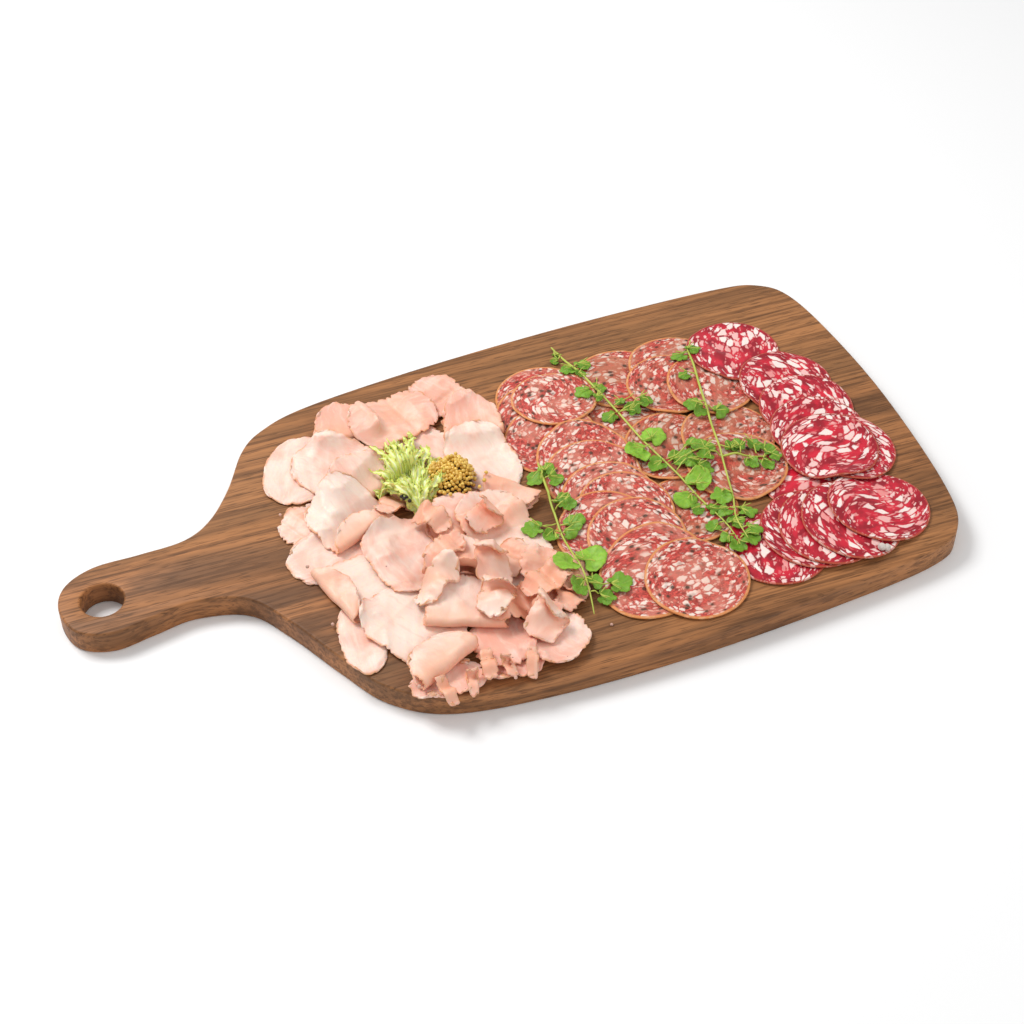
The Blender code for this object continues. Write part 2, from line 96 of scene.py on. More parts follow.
# Ham: name, (x, y), turn in degrees, length, width, folds, wave height, raggedness, pinkness.
HAM_SHEETS = [
    ("middle", (-32, 40), -78, 88, 60, [], 0.8, 1.0, 0.5),
    ("left_oval", (-101, 65), 62, 60, 42, [], 1.4, 0.5, 0.35),
    ("top_left", (-66, 94), -92, 66, 40, [(0.53, 174, 2.9)], 0.7, 0.8, 0.9),
    ("peak", (-3, 98), -60, 48, 38, [(0.28, -35, 3.0), (0.58, 60, 3.0)], 0.8, 1.0, 0.8),
    ("top_ridge", (-36, 86), 14, 66, 44,
     [(0.24, 36, 3.0), (0.42, -70, 3.0), (0.62, 70, 3.0), (0.78, -36, 3.0)], 0.6, 1.0, 0.7),
    ("right_dome", (8, 73), -100, 82, 38, [(0.54, 174, 3.0)], 0.7, 0.9, 0.7),
    ("left_low", (-106, -74), -96, 54, 26, [], 1.2, 0.6, 0.3),
    ("ragged_front", (-72, -119), -92, 30, 46, [(0.5, 25, 3.0)], 1.6, 2.2, 0.6),
    ("pink_strips", (-36, -121), -90, 28, 40, [(0.4, 30, 3.0)], 1.6, 2.6, 1.0),
    ("right_low", (-10, -110), -58, 52, 42, [(0.24, 40, 3.0)], 0.7, 0.9, 0.35),
    ("pink_flat", (-36, -104), -84, 42, 38, [], 1.4, 1.2, 1.0),
    ("left_crumple", (-110, 20), 28, 42, 30,
     [(0.25, 38, 2.6), (0.50, -76, 2.6), (0.76, 38, 2.6)], 0.6, 1.6, 0.4),
    ("left_speckled", (-100, -9), 8, 62, 44, [(0.8, 25, 3.0)], 1.3, 1.0, 0.35),
    ("left_rolled", (-91, -37), 196, 64, 48, [(0.74, 174, 2.8)], 0.6, 0.7, 0.2),
    ("right_flat", (3, 33), -82, 62, 42, [], 1.2, 1.2, 0.3),
    ("left_upper", (-84, 61), -52, 68, 50, [(0.72, 174, 2.8)], 0.6, 0.7, 0.3),
    ("left_fold", (-73, 38), -68, 58, 60, [(0.50, 174, 2.9)], 0.6, 0.8, 0.3),
    ("left_pale", (-89, 17), -66, 62, 48, [(0.73, 173, 2.8)], 0.6, 0.8, 0.15),
    ("right_roll", (5, -2), 49, 44, 36, [(0.5, 190, 3.2)], 0.6, 0.7, 0.5),
    ("kite", (-77, -75), -58, 66, 50, [(0.30, -25, 3.0), (0.74, 34, 3.0)], 0.9, 0.9, 0.2),
    ("roll", (-74, -103), -64, 52, 44, [(0.48, 190, 3.8)], 0.6, 0.8, 0.3),
    ("dished", (-60, -26), -80, 66, 54, [(0.18, -26, 4.0), (0.82, 34, 4.0)], 0.6, 0.7, 0.5),
    ("cone", (-33, -9), -46, 62, 42, [(0.5, 172, 3.0)], 0.6, 0.8, 0.5),
    ("centre", (-7, -36), -80, 84, 46,
     [(0.16, 40, 3.0), (0.28, -76, 3.0), (0.40, 36, 3.0)], 0.8, 0.7, 0.4),
    ("triangle", (-45, -72), -112, 72, 48, [(0.52, 173, 3.0)], 0.6, 0.7, 0.2),
    ("fan", (-40, -46), 62, 72, 42, [(0.34, 172, 3.2), (0.66, -168, 3.2)], 0.2, 1.0, 0.5),
    ("loops", (-15, -83), 4, 74, 32,
     [(0.15, 52, 3.0), (0.32, -100, 3.0), (0.50, 100, 3.0), (0.68, -100, 3.0), (0.85, 48, 3.0)],
     0.5, 1.4, 1.0),
]
# Torn scraps of ham: (x, y), turn, length, width, pinkness.
HAM_SCRAPS = [
    ((-44, -12), 120, 34, 18, 0.8), ((-18, -20), 30, 40, 20, 0.6), ((-60, 14), 35, 34, 17, 0.7),
    ((10, -88), 40, 34, 18, 0.8), ((-6, -98), 160, 34, 17, 1.0), ((20, -66), 95, 30, 16, 0.8),
    ((-12, -50), 35, 46, 26, 0.4), ((-26, -64), 80, 44, 24, 0.3), ((2, -60), 60, 42, 24, 0.6),
    ((12, -76), 110, 34, 17, 0.9), ((-34, -86), 55, 42, 24, 0.2), ((-48, -44), 15, 36, 18, 0.8),
    ((-2, -78), 20, 44, 22, 0.7), ((-14, -106), 35, 40, 24, 0.4), ((-58, -60), 30, 40, 20, 0.2),
    ((-50, -120), 80, 26, 11, 0.9), ((-40, -127), 95, 24, 9, 1.0), ((-28, -127), 70, 24, 9, 1.0),
    ((-76, -129), 100, 22, 10, 0.6), ((-62, -129), 75, 24, 9, 0.6)
]
SCRAP_FOLDS = (
    [(0.2, 50, 2.6), (0.42, -100, 2.6), (0.66, 95, 2.6), (0.86, -50, 2.6)],
    [(0.25, -30, 4.0), (0.62, 168, 2.8)],
    [(0.22, 45, 3.0), (0.5, -95, 2.8), (0.78, 55, 3.0)],
)
SCRAP_WAVE = 0.8
SCRAP_RAGGED = 1.5
PROFILE_STEPS = 400
STATION_EVERY = 0.62
ROW_EVERY = 0.75
CROWDED = 0.35
END_WIDTH = 0.62
CORNER_ROUND = 0.10
CORNER_LIMIT = 0.6
NICK_EVERY = 4.5
NICK_DEPTH = 2.4
THIN_WITHIN = 1.6
RIM_LIFT, CREASE_HEIGHT, DIMPLE_HEIGHT = 2.0, 0.45, 0.3
HAM_PATTERN_STEP = 41.0
BROWN_WITHIN = 3.4
HAM_DRAW = 500
SCRAPS_FROM = 60

# Rows of salami, from the lowest to the top one: the nodes' name, how many, and how crusted.
SALAMI_ROWS = [("peppered_spread", 7, 1.0), ("red_fan", 5, 0.0), ("red_row", 6, 0.0),
               ("peppered_row", 12, 0.3)]
# Slices that barely show: kind, x, y, radius.
UNDER_SLICES = [("peppered", 101.0, -46.0, 28.0), ("peppered", 94.0, 32.0, 28.0),
                ("red", 176.0, -50.0, 28.0)]
SALAMI_RINGS = 18
SALAMI_SPOKES = 96
RIM_SHARES = (0.95, 0.975, 0.99, 1.0)
RIM_ROUND = 0.04
RIM_THINNEST = 0.3
SLICE_WANDER = 0.012
SLICE_WAVE = 0.25
SLICE_CURL = (0.2, 1.1)
PATTERN_SWIRL = 0.9
PATTERN_SPREAD = 0.32
SALAMI_PATTERN_STEP = 37.0
SALAMI_DRAW = 100
UNDER_FROM = 60

# Herb sprigs: the stem's points in plan, then leaves as (x, y, across, turn, tone).
SPRIGS = [
    ("sprig_long",
     [(79, 118), (82, 98), (87, 70), (93, 42), (97, 15), (103, -12), (108, -38), (113, -60), (115, -82)],
     [(79, 110, 4, 20, 0.3), (76, 104, 5, 160, 0.3), (79, 89, 10, 200, 0.4), (90, 92, 9, -10, 0.5),
      (84, 81, 6, 30, 0.2), (80, 64, 10, 190, 0.5), (91, 67, 8, 15, 0.4), (86, 57, 5, 10, 0.3),
      (88, 42, 9, 190, 0.3), (103, 43, 9, 20, 0.4), (111, 44, 8, -10, 0.3), (98, 50, 6, 60, 0.3),
      (89, 5, 13, 180, 0.9), (105, 15, 13, 40, 1.0), (97, -8, 10, 200, 0.4), (112, -6, 12, 10, 0.5),
      (123, -2, 11, 20, 0.5), (116, -15, 9, -40, 0.4), (120, -22, 9, -30, 0.3), (129, -7, 8, 30, 0.4),
      (101, -39, 12, 200, 0.9), (114, -30, 13, 30, 1.0), (104, -50, 7, 210, 0.3),
      (113, -52, 8, 10, 0.4), (107, -65, 8, 190, 0.4), (120, -67, 9, 10, 0.4), (109, -76, 7, 200, 0.5),
      (113, -85, 9, 250, 0.3), (122, -81, 10, -20, 0.4)]),
    ("sprig_back",
     [(155, 80), (152, 62), (148, 44), (144, 26), (139, 5), (134, -17), (130, -35), (126, -50),
      (120, -66), (119, -84)],
     [(148, 76, 9, 170, 0.3), (158, 78, 9, 20, 0.3), (143, 57, 7, 190, 0.3), (137, 32, 9, 170, 0.4),
      (139, 24, 7, 200, 0.3), (151, 22, 9, 10, 0.4), (124, -14, 9, 190, 0.4), (144, -11, 9, 40, 0.4),
      (121, -45, 11, 240, 0.5), (130, -60, 10, -20, 0.5), (117, -58, 8, 200, 0.4),
      (126, -76, 9, -30, 0.4)]),
    ("sprig_branch",
     [(134, -17), (143, -19), (152, -22), (160, -24)],
     [(147, -12, 8, 80, 0.3), (149, -26, 8, -80, 0.4), (156, -14, 9, 60, 0.3), (157, -30, 8, -70, 0.3),
      (162, -20, 8, 20, 0.4), (164, -27, 7, -20, 0.3)]),
    ("sprig_front",
     [(31, 17), (29, 3), (27, -10), (25, -25), (23, -40), (22, -55), (21, -70), (20, -88), (17, -104)],
     [(27, 8, 10, 200, 0.4), (34, 9, 9, 40, 0.5), (35, 0, 8, -10, 0.4), (33, -17, 9, 20, 0.3),
      (34, -24, 7, -20, 0.3), (10, -31, 11, 170, 0.5), (17, -39, 8, 200, 0.4), (33, -37, 11, 10, 0.5),
      (27, -43, 7, -20, 0.4), (14, -70, 13, 190, 0.9), (30, -66, 15, 30, 1.0), (16, -87, 9, 210, 0.4),
      (26, -83, 9, 40, 0.4), (28, -94, 9, -30, 0.3), (38, -88, 12, 0, 0.4)]),
]

LARGE_LEAF_TONE = 0.8
LEAF_SCALE = 1.2
LEAF_RINGS = 7
LEAF_SPOKES = 54
LEAF_HALF = 0.17
LARGE_CUTS, SMALL_CUTS = 0.10, 0.30
LEAF_CUP = (0.05, 0.20)
LEAF_RUFFLE = 0.055
LEAF_TEETH = 0.025
STEM_RADII = (0.8, 0.5)
STEM_ROUNDS = 14
STEM_RISE = 0.9
STALK_RADIUS = 0.42
STALK_JOIN = 0.38
NEEDLE_RADIUS = 0.28
NEEDLE_LENGTH = (4.0, 9.0)
NEEDLE_LEAN = 1.2
NEEDLE_BEND = 1.5

# Curly leaf and mustard seeds: centre, radii, height, turn in degrees.
FRISEE = ((-44.0, 30.0), (17.0, 30.0), 11.0, -10.0)
FRISEE_STRANDS = 52
FRISEE_STALK = (3.0, -26.0)
FRISEE_SPREAD = (-15.0, 195.0)
FRISEE_OVERHANG = (1.25, 1.4)
FRISEE_CORE_WIDTH, FRISEE_CORE_HEIGHT, FRISEE_MOUND = 0.62, 0.4, 0.8
STRAND_SHORTEST = 12.0
STRAND_WIDTH = (3.6, 6.4)
STRAND_LIFT = (0.4, 0.95)
STRAND_START = 2.5
MUSTARD = ((-20.0, 23.0), (13.5, 15.5), 12.5, 0.0)
SEEDS_IN_LAYER = 165
SEEDS_ON_TOP = 36
GOLDEN_ANGLE = math.pi * (3.0 - math.sqrt(5.0))
SEED_GRID = (5, 9)
SEED_SIZES = (0.86, 1.1)
SEED_SHAPE = np.array((1.05, 0.98, 0.92))
SEED_SHIFT, TOP_SEED_SHIFT = 0.22, 1.1
CORE_RINGS = 11
CORE_SPOKES = 40
STRAND_GRID = (64, 9)
FRISEE_DRAW, MUSTARD_DRAW, HERB_DRAW, CRUMB_DRAW = 31, 47, 70, 91
STRAY_SEEDS = [(-36, 14), (-35, 10), (-33, 7), (-37, 18), (-31, 5), (-28, 3), (-3, 12),
               (-6, 7), (-10, 4)]

# Crumbs: name, colour, slot, size, places.
CRUMBS = [
    ("pepper_bits", (0.03, 0.024, 0.018), "peppered_salami", 2.2,
     [(-54, 9), (-52, 10), (-53, 12), (-51, 8), (-55, 11), (-14, 22), (-24, 30), (-17, 33), (-26, 18)]),
    ("fat_crumb", (0.62, 0.55, 0.50), "red_salami", 5.0, [(190, -116), (187, -115)]),
    ("ham_crumbs", (0.60, 0.36, 0.28), "ham", 2.0,
     [(-122, 30), (-120, -20), (-90, -124), (-40, -134), (24, -112), (30, 44), (-118, -60)]),
]

# Stage: camera, floor, and lights as (name, place, size, power), each aimed at the middle.
CAMERA_AZIMUTH = math.radians(-20.658296)
CAMERA_ELEVATION = math.radians(44.5868968)
CAMERA_LENS = 66.796875
CAMERA_PLACE = (-0.270597043, -0.7400008296, 0.78301442313)
FLOOR_HALF = 6.0
WORLD_STRENGTH = 0.6
LIGHTS = [
    ("light_back", (-0.55, 0.65, 1.15), 0.55, 14.0),
    ("light_front", (0.9, -1.2, 1.1), 1.2, 6.0),
]


# ---------------------------------------------------------------- sizes and colours to change

def length_setting(name, description, default, low, high):
    """A length in metres to change in the panel."""
    return bpy.props.FloatProperty(name=name, description=description, default=default,
                                   min=low, max=high, unit='LENGTH')


def colour_setting(name, description, default):
    """A colour to change in the panel."""
    return bpy.props.FloatVectorProperty(name=name, description=description, default=default,
                                         size=3, min=0.0, max=1.0, subtype='COLOR')


class BoardSettings(bpy.types.PropertyGroup):
    """Sizes and colours of the board and its food"""
    top_round: length_setting(
        "Top edge", "Radius of the board's rounded top edge", 0.0016, 0.0005, 0.006)
    bottom_round: length_setting(
        "Bottom edge", "Radius of the board's rounded bottom edge", 0.0012, 0.0005, 0.006)
    salami_thickness: length_setting(
        "Salami", "Thickness of a slice of salami", 0.0014, 0.0008, 0.003)
    ham_thickness: length_setting(
        "Ham", "Thickness of a slice of ham", 0.0010, 0.0006, 0.003)
    seed_size: length_setting(
        "Mustard seed", "Diameter of a mustard seed", 0.0025, 0.001, 0.004)
    walnut: colour_setting("Walnut", "Middle colour of the walnut", (0.265, 0.106, 0.036))
    red_meat: colour_setting("Red salami", "Lean colour of the red salami", (0.50, 0.012, 0.030))
    peppered_meat: colour_setting(
        "Peppered salami", "Lean colour of the peppered salami", (0.45, 0.058, 0.045))
    ham: colour_setting("Ham", "Palest colour of the ham", (0.96, 0.72, 0.61))
    herb: colour_setting("Herb", "Middle colour of the herb leaves", (0.16, 0.36, 0.022))


def settings():
    """The scene's board settings."""
    return bpy.context.scene.board_settings


# ---------------------------------------------------------------- finishes

def arithmetic(operation, reverse=False):
    """A method of a wire, which adds a Math node for it and for another wire or number."""
    def with_other(wire, other):
        values = (other, wire) if reverse else (wire, other)
        return wire.finish.output(0, 'ShaderNodeMath', {"operation": operation},
                                  dict(enumerate(values)))
    return with_other


class Wire:
    """An output in a finish's nodes. Arithmetic on wires and numbers adds Math nodes."""

    def __init__(self, finish, socket):
        self.finish = finish
        self.socket = socket

    __add__, __radd__ = arithmetic('ADD'), arithmetic('ADD', reverse=True)
    __sub__, __rsub__ = arithmetic('SUBTRACT'), arithmetic('SUBTRACT', reverse=True)
    __mul__, __rmul__ = arithmetic('MULTIPLY'), arithmetic('MULTIPLY', reverse=True)

    def between(self, low, high):
        """0 below low, 1 above high and smooth between them."""
        return self.finish.output(0, 'ShaderNodeMapRange', {"interpolation_type": 'SMOOTHSTEP'},
                                  {"Value": self, "From Min": low, "From Max": high})


class Finish:
    """A material and its nodes, with one Principled shader."""

    def __init__(self, name, **constants):
        self.material = bpy.data.materials.new(name)
        self.material.use_nodes = True
        self.tree = self.material.node_tree
        self.shader = self.tree.nodes["Principled BSDF"]
        self.shade(**constants)

    def node(self, kind, options=(), sockets=()):
        """Add a node: its options first, then the values or wires of its sockets."""
        node = self.tree.nodes.new(kind)
        for key, value in dict(options).items():
            setattr(node, key, value)
        self.set_sockets(node, dict(sockets))
        return node

    def set_sockets(self, node, sockets):
        """Set sockets by their place, identifier or name, to a value or to a wire."""
        for key, value in sockets.items():
            if isinstance(key, int):
                socket = node.inputs[key]
            else:
                named = (s for s in node.inputs if s.identifier == key)
                socket = next(named, None) or node.inputs[key]
            if isinstance(value, Wire):
                self.tree.links.new(value.socket, socket)
            elif hasattr(value, "__len__") and socket.type == 'RGBA' and len(value) == 3:
                socket.default_value = (*value, 1.0)
            else:
                socket.default_value = value

    def shade(self, **values):
        """Set the shader's own sockets, or join wires to them."""
        self.set_sockets(self.shader, {key.replace("_", " "): value
                                       for key, value in values.items()})

    def output(self, name, kind, options=(), sockets=()):
        """An output of a new node, by its place or name."""
        return Wire(self, self.node(kind, options, sockets).outputs[name])

    def place(self):
        """Object coordinates."""
        return self.output("Object", 'ShaderNodeTexCoord')

    def attribute(self, name, output="Fac"):
        """A value stored on the mesh: Fac for a number, Vector for a place."""
        return self.output(output, 'ShaderNodeAttribute', {"attribute_name": name})

    def stretched(self, vector, scale):
        """Coordinates scaled by a different number along each axis."""
        return self.output(0, 'ShaderNodeMapping', {}, {"Vector": vector, "Scale": scale})

    def noise(self, vector, scale, detail=3.0, rough=0.5, warp=0.0):
        """Smooth noise from 0 to 1."""
        return self.output("Fac", 'ShaderNodeTexNoise', {},
                           {"Vector": vector, "Scale": scale, "Detail": detail,
                            "Roughness": rough, "Distortion": warp})

    def cells(self, vector, scale, feature='F1', output="Distance"):
        """Cells round scattered points."""
        return self.output(output, 'ShaderNodeTexVoronoi', {"feature": feature},
                           {"Vector": vector, "Scale": scale})

    def cell_number(self, vector, scale):
        """One random number for each cell."""
        colour = self.cells(vector, scale, output="Color")
        return self.output(0, 'ShaderNodeSeparateColor', {}, {0: colour})

    def bits(self, vector, scale):
        """Cells as pieces: the distance to each one's edge, and its random number."""
        return self.cells(vector, scale, 'DISTANCE_TO_EDGE'), self.cell_number(vector, scale)

    def warped(self, vector, scale, amount):
        """Coordinates pushed about by noise."""
        noise = self.output("Color", 'ShaderNodeTexNoise', {},
                            {"Vector": vector, "Scale": scale, "Detail": 2.0})
        return self.output(0, 'ShaderNodeVectorMath', {"operation": 'MULTIPLY_ADD'},
                           {0: noise, 1: (amount,) * 3, 2: vector})

    def mix(self, share, first, second):
        """Blend two colours."""
        node = self.node('ShaderNodeMix', {"data_type": 'RGBA'},
                         {"Factor_Float": share, "A_Color": first, "B_Color": second})
        return Wire(self, next(s for s in node.outputs if s.identifier == "Result_Color"))

    def bump(self, height, distance, strength):
        """Relief of the given depth in metres, joined to the shader."""
        self.shade(Normal=self.output(0, 'ShaderNodeBump', {}, {
            "Height": height, "Distance": distance, "Strength": strength}))


def shade_of(colour, factor):
    """A lighter or darker version of a colour."""
    return tuple(min(1.0, part * factor) for part in colour)


def walnut_finish():
    """Oiled walnut: growth bands round an axis far below, long fibres and short dark pores."""
    finish = Finish("walnut", Specular_IOR_Level=0.3)
    base = tuple(settings().walnut)
    place = finish.place()
    bent = finish.warped(finish.stretched(place, (0.55, 1.0, 1.0)), 7.0, 0.075)
    bands = finish.noise(finish.stretched(bent, (3.0, 36.0, 52.0)), 1.0, 4.0, 0.6)
    wide = finish.noise(finish.stretched(bent, (1.2, 9.0, 9.0)), 1.0, 2.0)
    fibres = finish.noise(finish.stretched(place, (9.0, 420.0, 420.0)), 1.0, 3.0, 0.6)
    bent = finish.warped(place, 30.0, 0.002)
    pores = finish.noise(finish.stretched(bent, (75.0, 1300.0, 1300.0)), 1.0, 1.0)
    colour = finish.mix(bands.between(0.32, 0.68), shade_of(base, 0.34), shade_of(base, 1.75))
    colour = finish.mix(wide.between(0.38, 0.7) * 0.55, colour, (0.42, 0.19, 0.07))
    colour = finish.mix(fibres.between(0.42, 0.66) * 0.7, colour, shade_of(base, 0.38))
    pore = pores.between(0.57, 0.68)
    colour = finish.mix(pore * 0.6, colour, shade_of(base, 0.3))
    finish.shade(Base_Color=colour, Roughness=0.42 + 0.2 * fibres)
    finish.bump(fibres * 0.4 - pore, 0.00012, 0.6)
    return finish.material


def red_salami_finish():
    """Coarse-cut red salami: lean meat packed with white and pink pieces of fat."""
    finish = Finish("red_salami", Specular_IOR_Level=0.3, Coat_Roughness=0.2,
                    Subsurface_Weight=0.1, Subsurface_Scale=0.002)
    lean = tuple(settings().red_meat)
    grain = finish.warped(finish.attribute("grain", "Vector"), 0.22, 2.6)
    grain = finish.stretched(grain, (1.25, 0.68, 1.0))
    rim = finish.attribute("rim")
    large, large_kind = finish.bits(grain, 0.17)
    small, small_kind = finish.bits(grain, 0.36)
    patches = finish.noise(grain, 0.075, 1.0)
    fat = large.between(0.05, 0.17) * (large_kind + patches * 0.7 - rim * 0.25).between(0.74, 0.80)
    bits = small.between(0.07, 0.22) * (small_kind - rim * 0.1).between(0.46, 0.54)
    dark = finish.noise(grain, 0.12, 2.0)
    meat = finish.mix(dark.between(0.35, 0.65), shade_of(lean, 0.62), shade_of(lean, 1.35))
    meat = finish.mix(rim.between(0.6, 1.0) * 0.55, meat, shade_of(lean, 0.55))
    white = finish.mix(large_kind.between(0.45, 0.95), (0.84, 0.27, 0.26), (0.96, 0.80, 0.74))
    pink = finish.mix(small_kind.between(0.55, 0.95), (0.76, 0.14, 0.15), (0.93, 0.60, 0.54))
    colour = finish.mix(bits * 0.85, meat, pink)
    colour = finish.mix(fat, colour, white)
    colour = finish.mix(rim.between(0.955, 0.985) * 0.7, colour, (0.48, 0.10, 0.04))
    finish.shade(Base_Color=colour, Roughness=0.34 + 0.16 * dark, Coat_Weight=0.14 + 0.1 * fat)
    finish.bump(fat + bits * 0.5 + dark, 0.0002, 0.6)
    return finish.material


def peppered_salami_finish():
    """Peppered salami: dusty red meat, soft-edged fat, crushed pepper and a thin orange rim."""
    finish = Finish("peppered_salami", Specular_IOR_Level=0.3, Coat_Roughness=0.25,
                    Subsurface_Weight=0.1, Subsurface_Scale=0.002)
    lean = tuple(settings().peppered_meat)
    grain = finish.warped(finish.attribute("grain", "Vector"), 0.3, 2.4)
    grain = finish.stretched(grain, (1.15, 0.8, 1.0))
    rim = finish.attribute("rim")
    large, large_kind = finish.bits(grain, 0.23)
    small, small_kind = finish.bits(grain, 0.45)
    patches = finish.noise(grain, 0.06, 1.0)
    fat = large.between(0.05, 0.20) * (large_kind + patches * 0.9 - rim * 0.2).between(0.84, 0.94)
    bits = small.between(0.04, 0.16) * small_kind.between(0.62, 0.70)
    fibres = finish.noise(grain, 0.5, 4.0, 0.65, 0.8)
    meat = finish.mix(fibres.between(0.35, 0.65), shade_of(lean, 0.62), shade_of(lean, 1.6))
    meat = finish.mix(patches.between(0.42, 0.62) * 0.6, meat, (0.70, 0.25, 0.19))
    colour = finish.mix(bits * 0.75, meat, (0.88, 0.50, 0.40))
    white = finish.mix(large_kind, (0.86, 0.52, 0.42), (0.96, 0.82, 0.72))
    colour = finish.mix(fat * 0.92, colour, white)
    crust = finish.attribute("crust")
    colour = finish.mix(crust * patches.between(0.30, 0.60) * 0.5, colour, (0.36, 0.15, 0.045))
    straight = finish.attribute("grain", "Vector")
    speck = finish.cells(finish.warped(straight, 1.1, 0.5), 0.17)
    chosen = finish.cell_number(straight, 0.17)
    pepper = (1.0 - speck.between(0.15, 0.27)) * (chosen + crust * 0.3).between(0.26, 0.34)
    halo = (1.0 - speck.between(0.22, 0.50)) * chosen.between(0.26, 0.34)
    colour = finish.mix(halo * 0.5, colour, (0.22, 0.06, 0.035))
    colour = finish.mix(pepper * 0.85, colour, (0.060, 0.034, 0.018))
    colour = finish.mix(rim.between(0.93, 0.975) * 0.85, colour, (0.74, 0.30, 0.09))
    finish.shade(Base_Color=colour, Roughness=0.40 + 0.2 * fibres, Coat_Weight=0.08 + 0.08 * fat)
    finish.bump(fibres + fat * 0.5 + pepper * 1.5, 0.00025, 0.7)
    return finish.material


def ham_finish():
    """Cooked ham: pale cream-pink faces with muscle lines, painted orange-pink shade in its folds and
    browned edges.
    """
    finish = Finish("ham", Specular_IOR_Level=0.35, Coat_Roughness=0.3,
                    Subsurface_Weight=0.2, Subsurface_Scale=0.003)
    pale = tuple(settings().ham)
    sheet = finish.attribute("grain", "Vector")
    pink = finish.attribute("pink")
    edge = finish.attribute("edge")
    fold = finish.attribute("fold")
    clouds = finish.noise(sheet, 0.05, 3.0, 0.55, 0.6)
    bent = finish.stretched(finish.warped(sheet, 0.08, 6.0), (0.05, 0.35, 0.2))
    lines = finish.noise(bent, 1.0, 4.0, 0.6)
    fine = finish.noise(sheet, 0.9, 3.0, 0.6)
    share = (clouds + pink * 0.55 - 0.26).between(0.26, 0.72)
    colour = finish.mix(share, pale, (0.90, 0.45, 0.34))
    colour = finish.mix(lines.between(0.48, 0.66) * 0.3, colour, (0.96, 0.78, 0.68))
    colour = finish.mix((1.0 - lines.between(0.30, 0.42)) * 0.25, colour, (0.80, 0.40, 0.31))
    # Painted shade: an orange-pink tint near each fold, where the bent sheet lies in its own shade.
    colour = finish.mix(fold * (0.35 + 0.7 * clouds), colour, (0.89, 0.42, 0.25))
    rim = finish.noise(sheet, 0.12, 3.0)
    browned = edge.between(0.45, 0.9) * rim.between(0.32, 0.58)
    blush = edge.between(0.0, 0.9) * rim.between(0.30, 0.66)
    colour = finish.mix(blush * 0.55, colour, (0.89, 0.46, 0.34))
    colour = finish.mix(browned * 0.8, colour, (0.72, 0.33, 0.15))
    speck = finish.cells(finish.warped(sheet, 1.0, 0.6), 0.11)
    chosen = finish.cell_number(sheet, 0.11)
    dots = (1.0 - speck.between(0.03, 0.07)) * chosen.between(0.68, 0.72)
    colour = finish.mix(dots * 0.8, colour, (0.20, 0.07, 0.04))
    finish.shade(Base_Color=colour, Roughness=0.38 + 0.22 * fine, Coat_Weight=0.10 + 0.12 * lines)
    finish.bump(lines * 1.2 + fine * 0.6, 0.0003, 0.55)
    return finish.material


def herb_finish():
    """Fresh leaves: bright when large, darker when small, with pale veins from the stalk."""
    finish = Finish("herb_leaf", Specular_IOR_Level=0.3, Coat_Roughness=0.4,
                    Subsurface_Weight=0.15, Subsurface_Scale=0.001)
    base = tuple(settings().herb)
    tone = finish.attribute("tone")
    leaf = finish.attribute("grain", "Vector")
    patches = finish.noise(leaf, 0.35, 3.0)
    veins = finish.attribute("vein")
    colour = finish.mix(tone, shade_of(base, 0.75), (0.31, 0.56, 0.05))
    colour = finish.mix(patches.between(0.35, 0.7) * 0.4, colour, (0.10, 0.25, 0.015))
    colour = finish.mix(veins * 0.35, colour, (0.42, 0.60, 0.16))
    finish.shade(Base_Color=colour, Roughness=0.45 + 0.15 * patches, Coat_Weight=0.1)
    finish.bump(patches - veins, 0.0003, 0.6)
    return finish.material


def stem_finish():
    """Thin yellow-green stems."""
    finish = Finish("herb_stem", Roughness=0.45)
    patches = finish.noise(finish.place(), 90.0, 2.0)
    finish.shade(Base_Color=finish.mix(patches, (0.34, 0.46, 0.05), (0.62, 0.64, 0.12)))
    finish.bump(patches, 0.0002, 0.5)
    return finish.material


def frisee_finish():
    """Curly leaf: white ribs, pale yellow-green blades and greener fringed tips."""
    finish = Finish("frisee", Specular_IOR_Level=0.3,
                    Subsurface_Weight=0.2, Subsurface_Scale=0.0015)
    tip = finish.attribute("tone")
    patches = finish.noise(finish.place(), 160.0, 3.0)
    colour = finish.mix(tip.between(0.0, 0.35), (0.88, 0.88, 0.55), (0.74, 0.78, 0.22))
    colour = finish.mix(tip.between(0.55, 1.0) * 0.7, colour, (0.58, 0.68, 0.09))
    colour = finish.mix(patches.between(0.4, 0.7) * 0.4, colour, (0.80, 0.80, 0.30))
    finish.shade(Base_Color=colour, Roughness=0.40 + 0.2 * patches)
    finish.bump(patches, 0.0003, 0.5)
    return finish.material


def mustard_finish():
    """Wet ochre seeds, each a little darker or lighter than the next."""
    finish = Finish("mustard", Coat_Roughness=0.15)
    tone = finish.attribute("tone")
    patches = finish.noise(finish.place(), 700.0, 2.0)
    colour = finish.mix(tone, (0.64, 0.35, 0.035), (0.90, 0.62, 0.13))
    colour = finish.mix(patches.between(0.45, 0.7) * 0.25, colour, (0.42, 0.20, 0.02))
    finish.shade(Base_Color=colour, Roughness=0.34 + 0.15 * patches, Coat_Weight=0.35)
    finish.bump(patches, 0.0001, 0.4)
    return finish.material


def dark_finish(name, colour):
    """A rough mottled finish, for the core under the seeds, painted near black as the shade between
    them, and for crumbs.
    """
    finish = Finish(name, Roughness=0.7)
    patches = finish.noise(finish.place(), 400.0, 3.0)
    finish.shade(Base_Color=finish.mix(patches, shade_of(colour, 0.5), shade_of(colour, 1.6)))
    finish.bump(patches, 0.0004, 0.8)
    return finish.material


# ---------------------------------------------------------------- making pieces

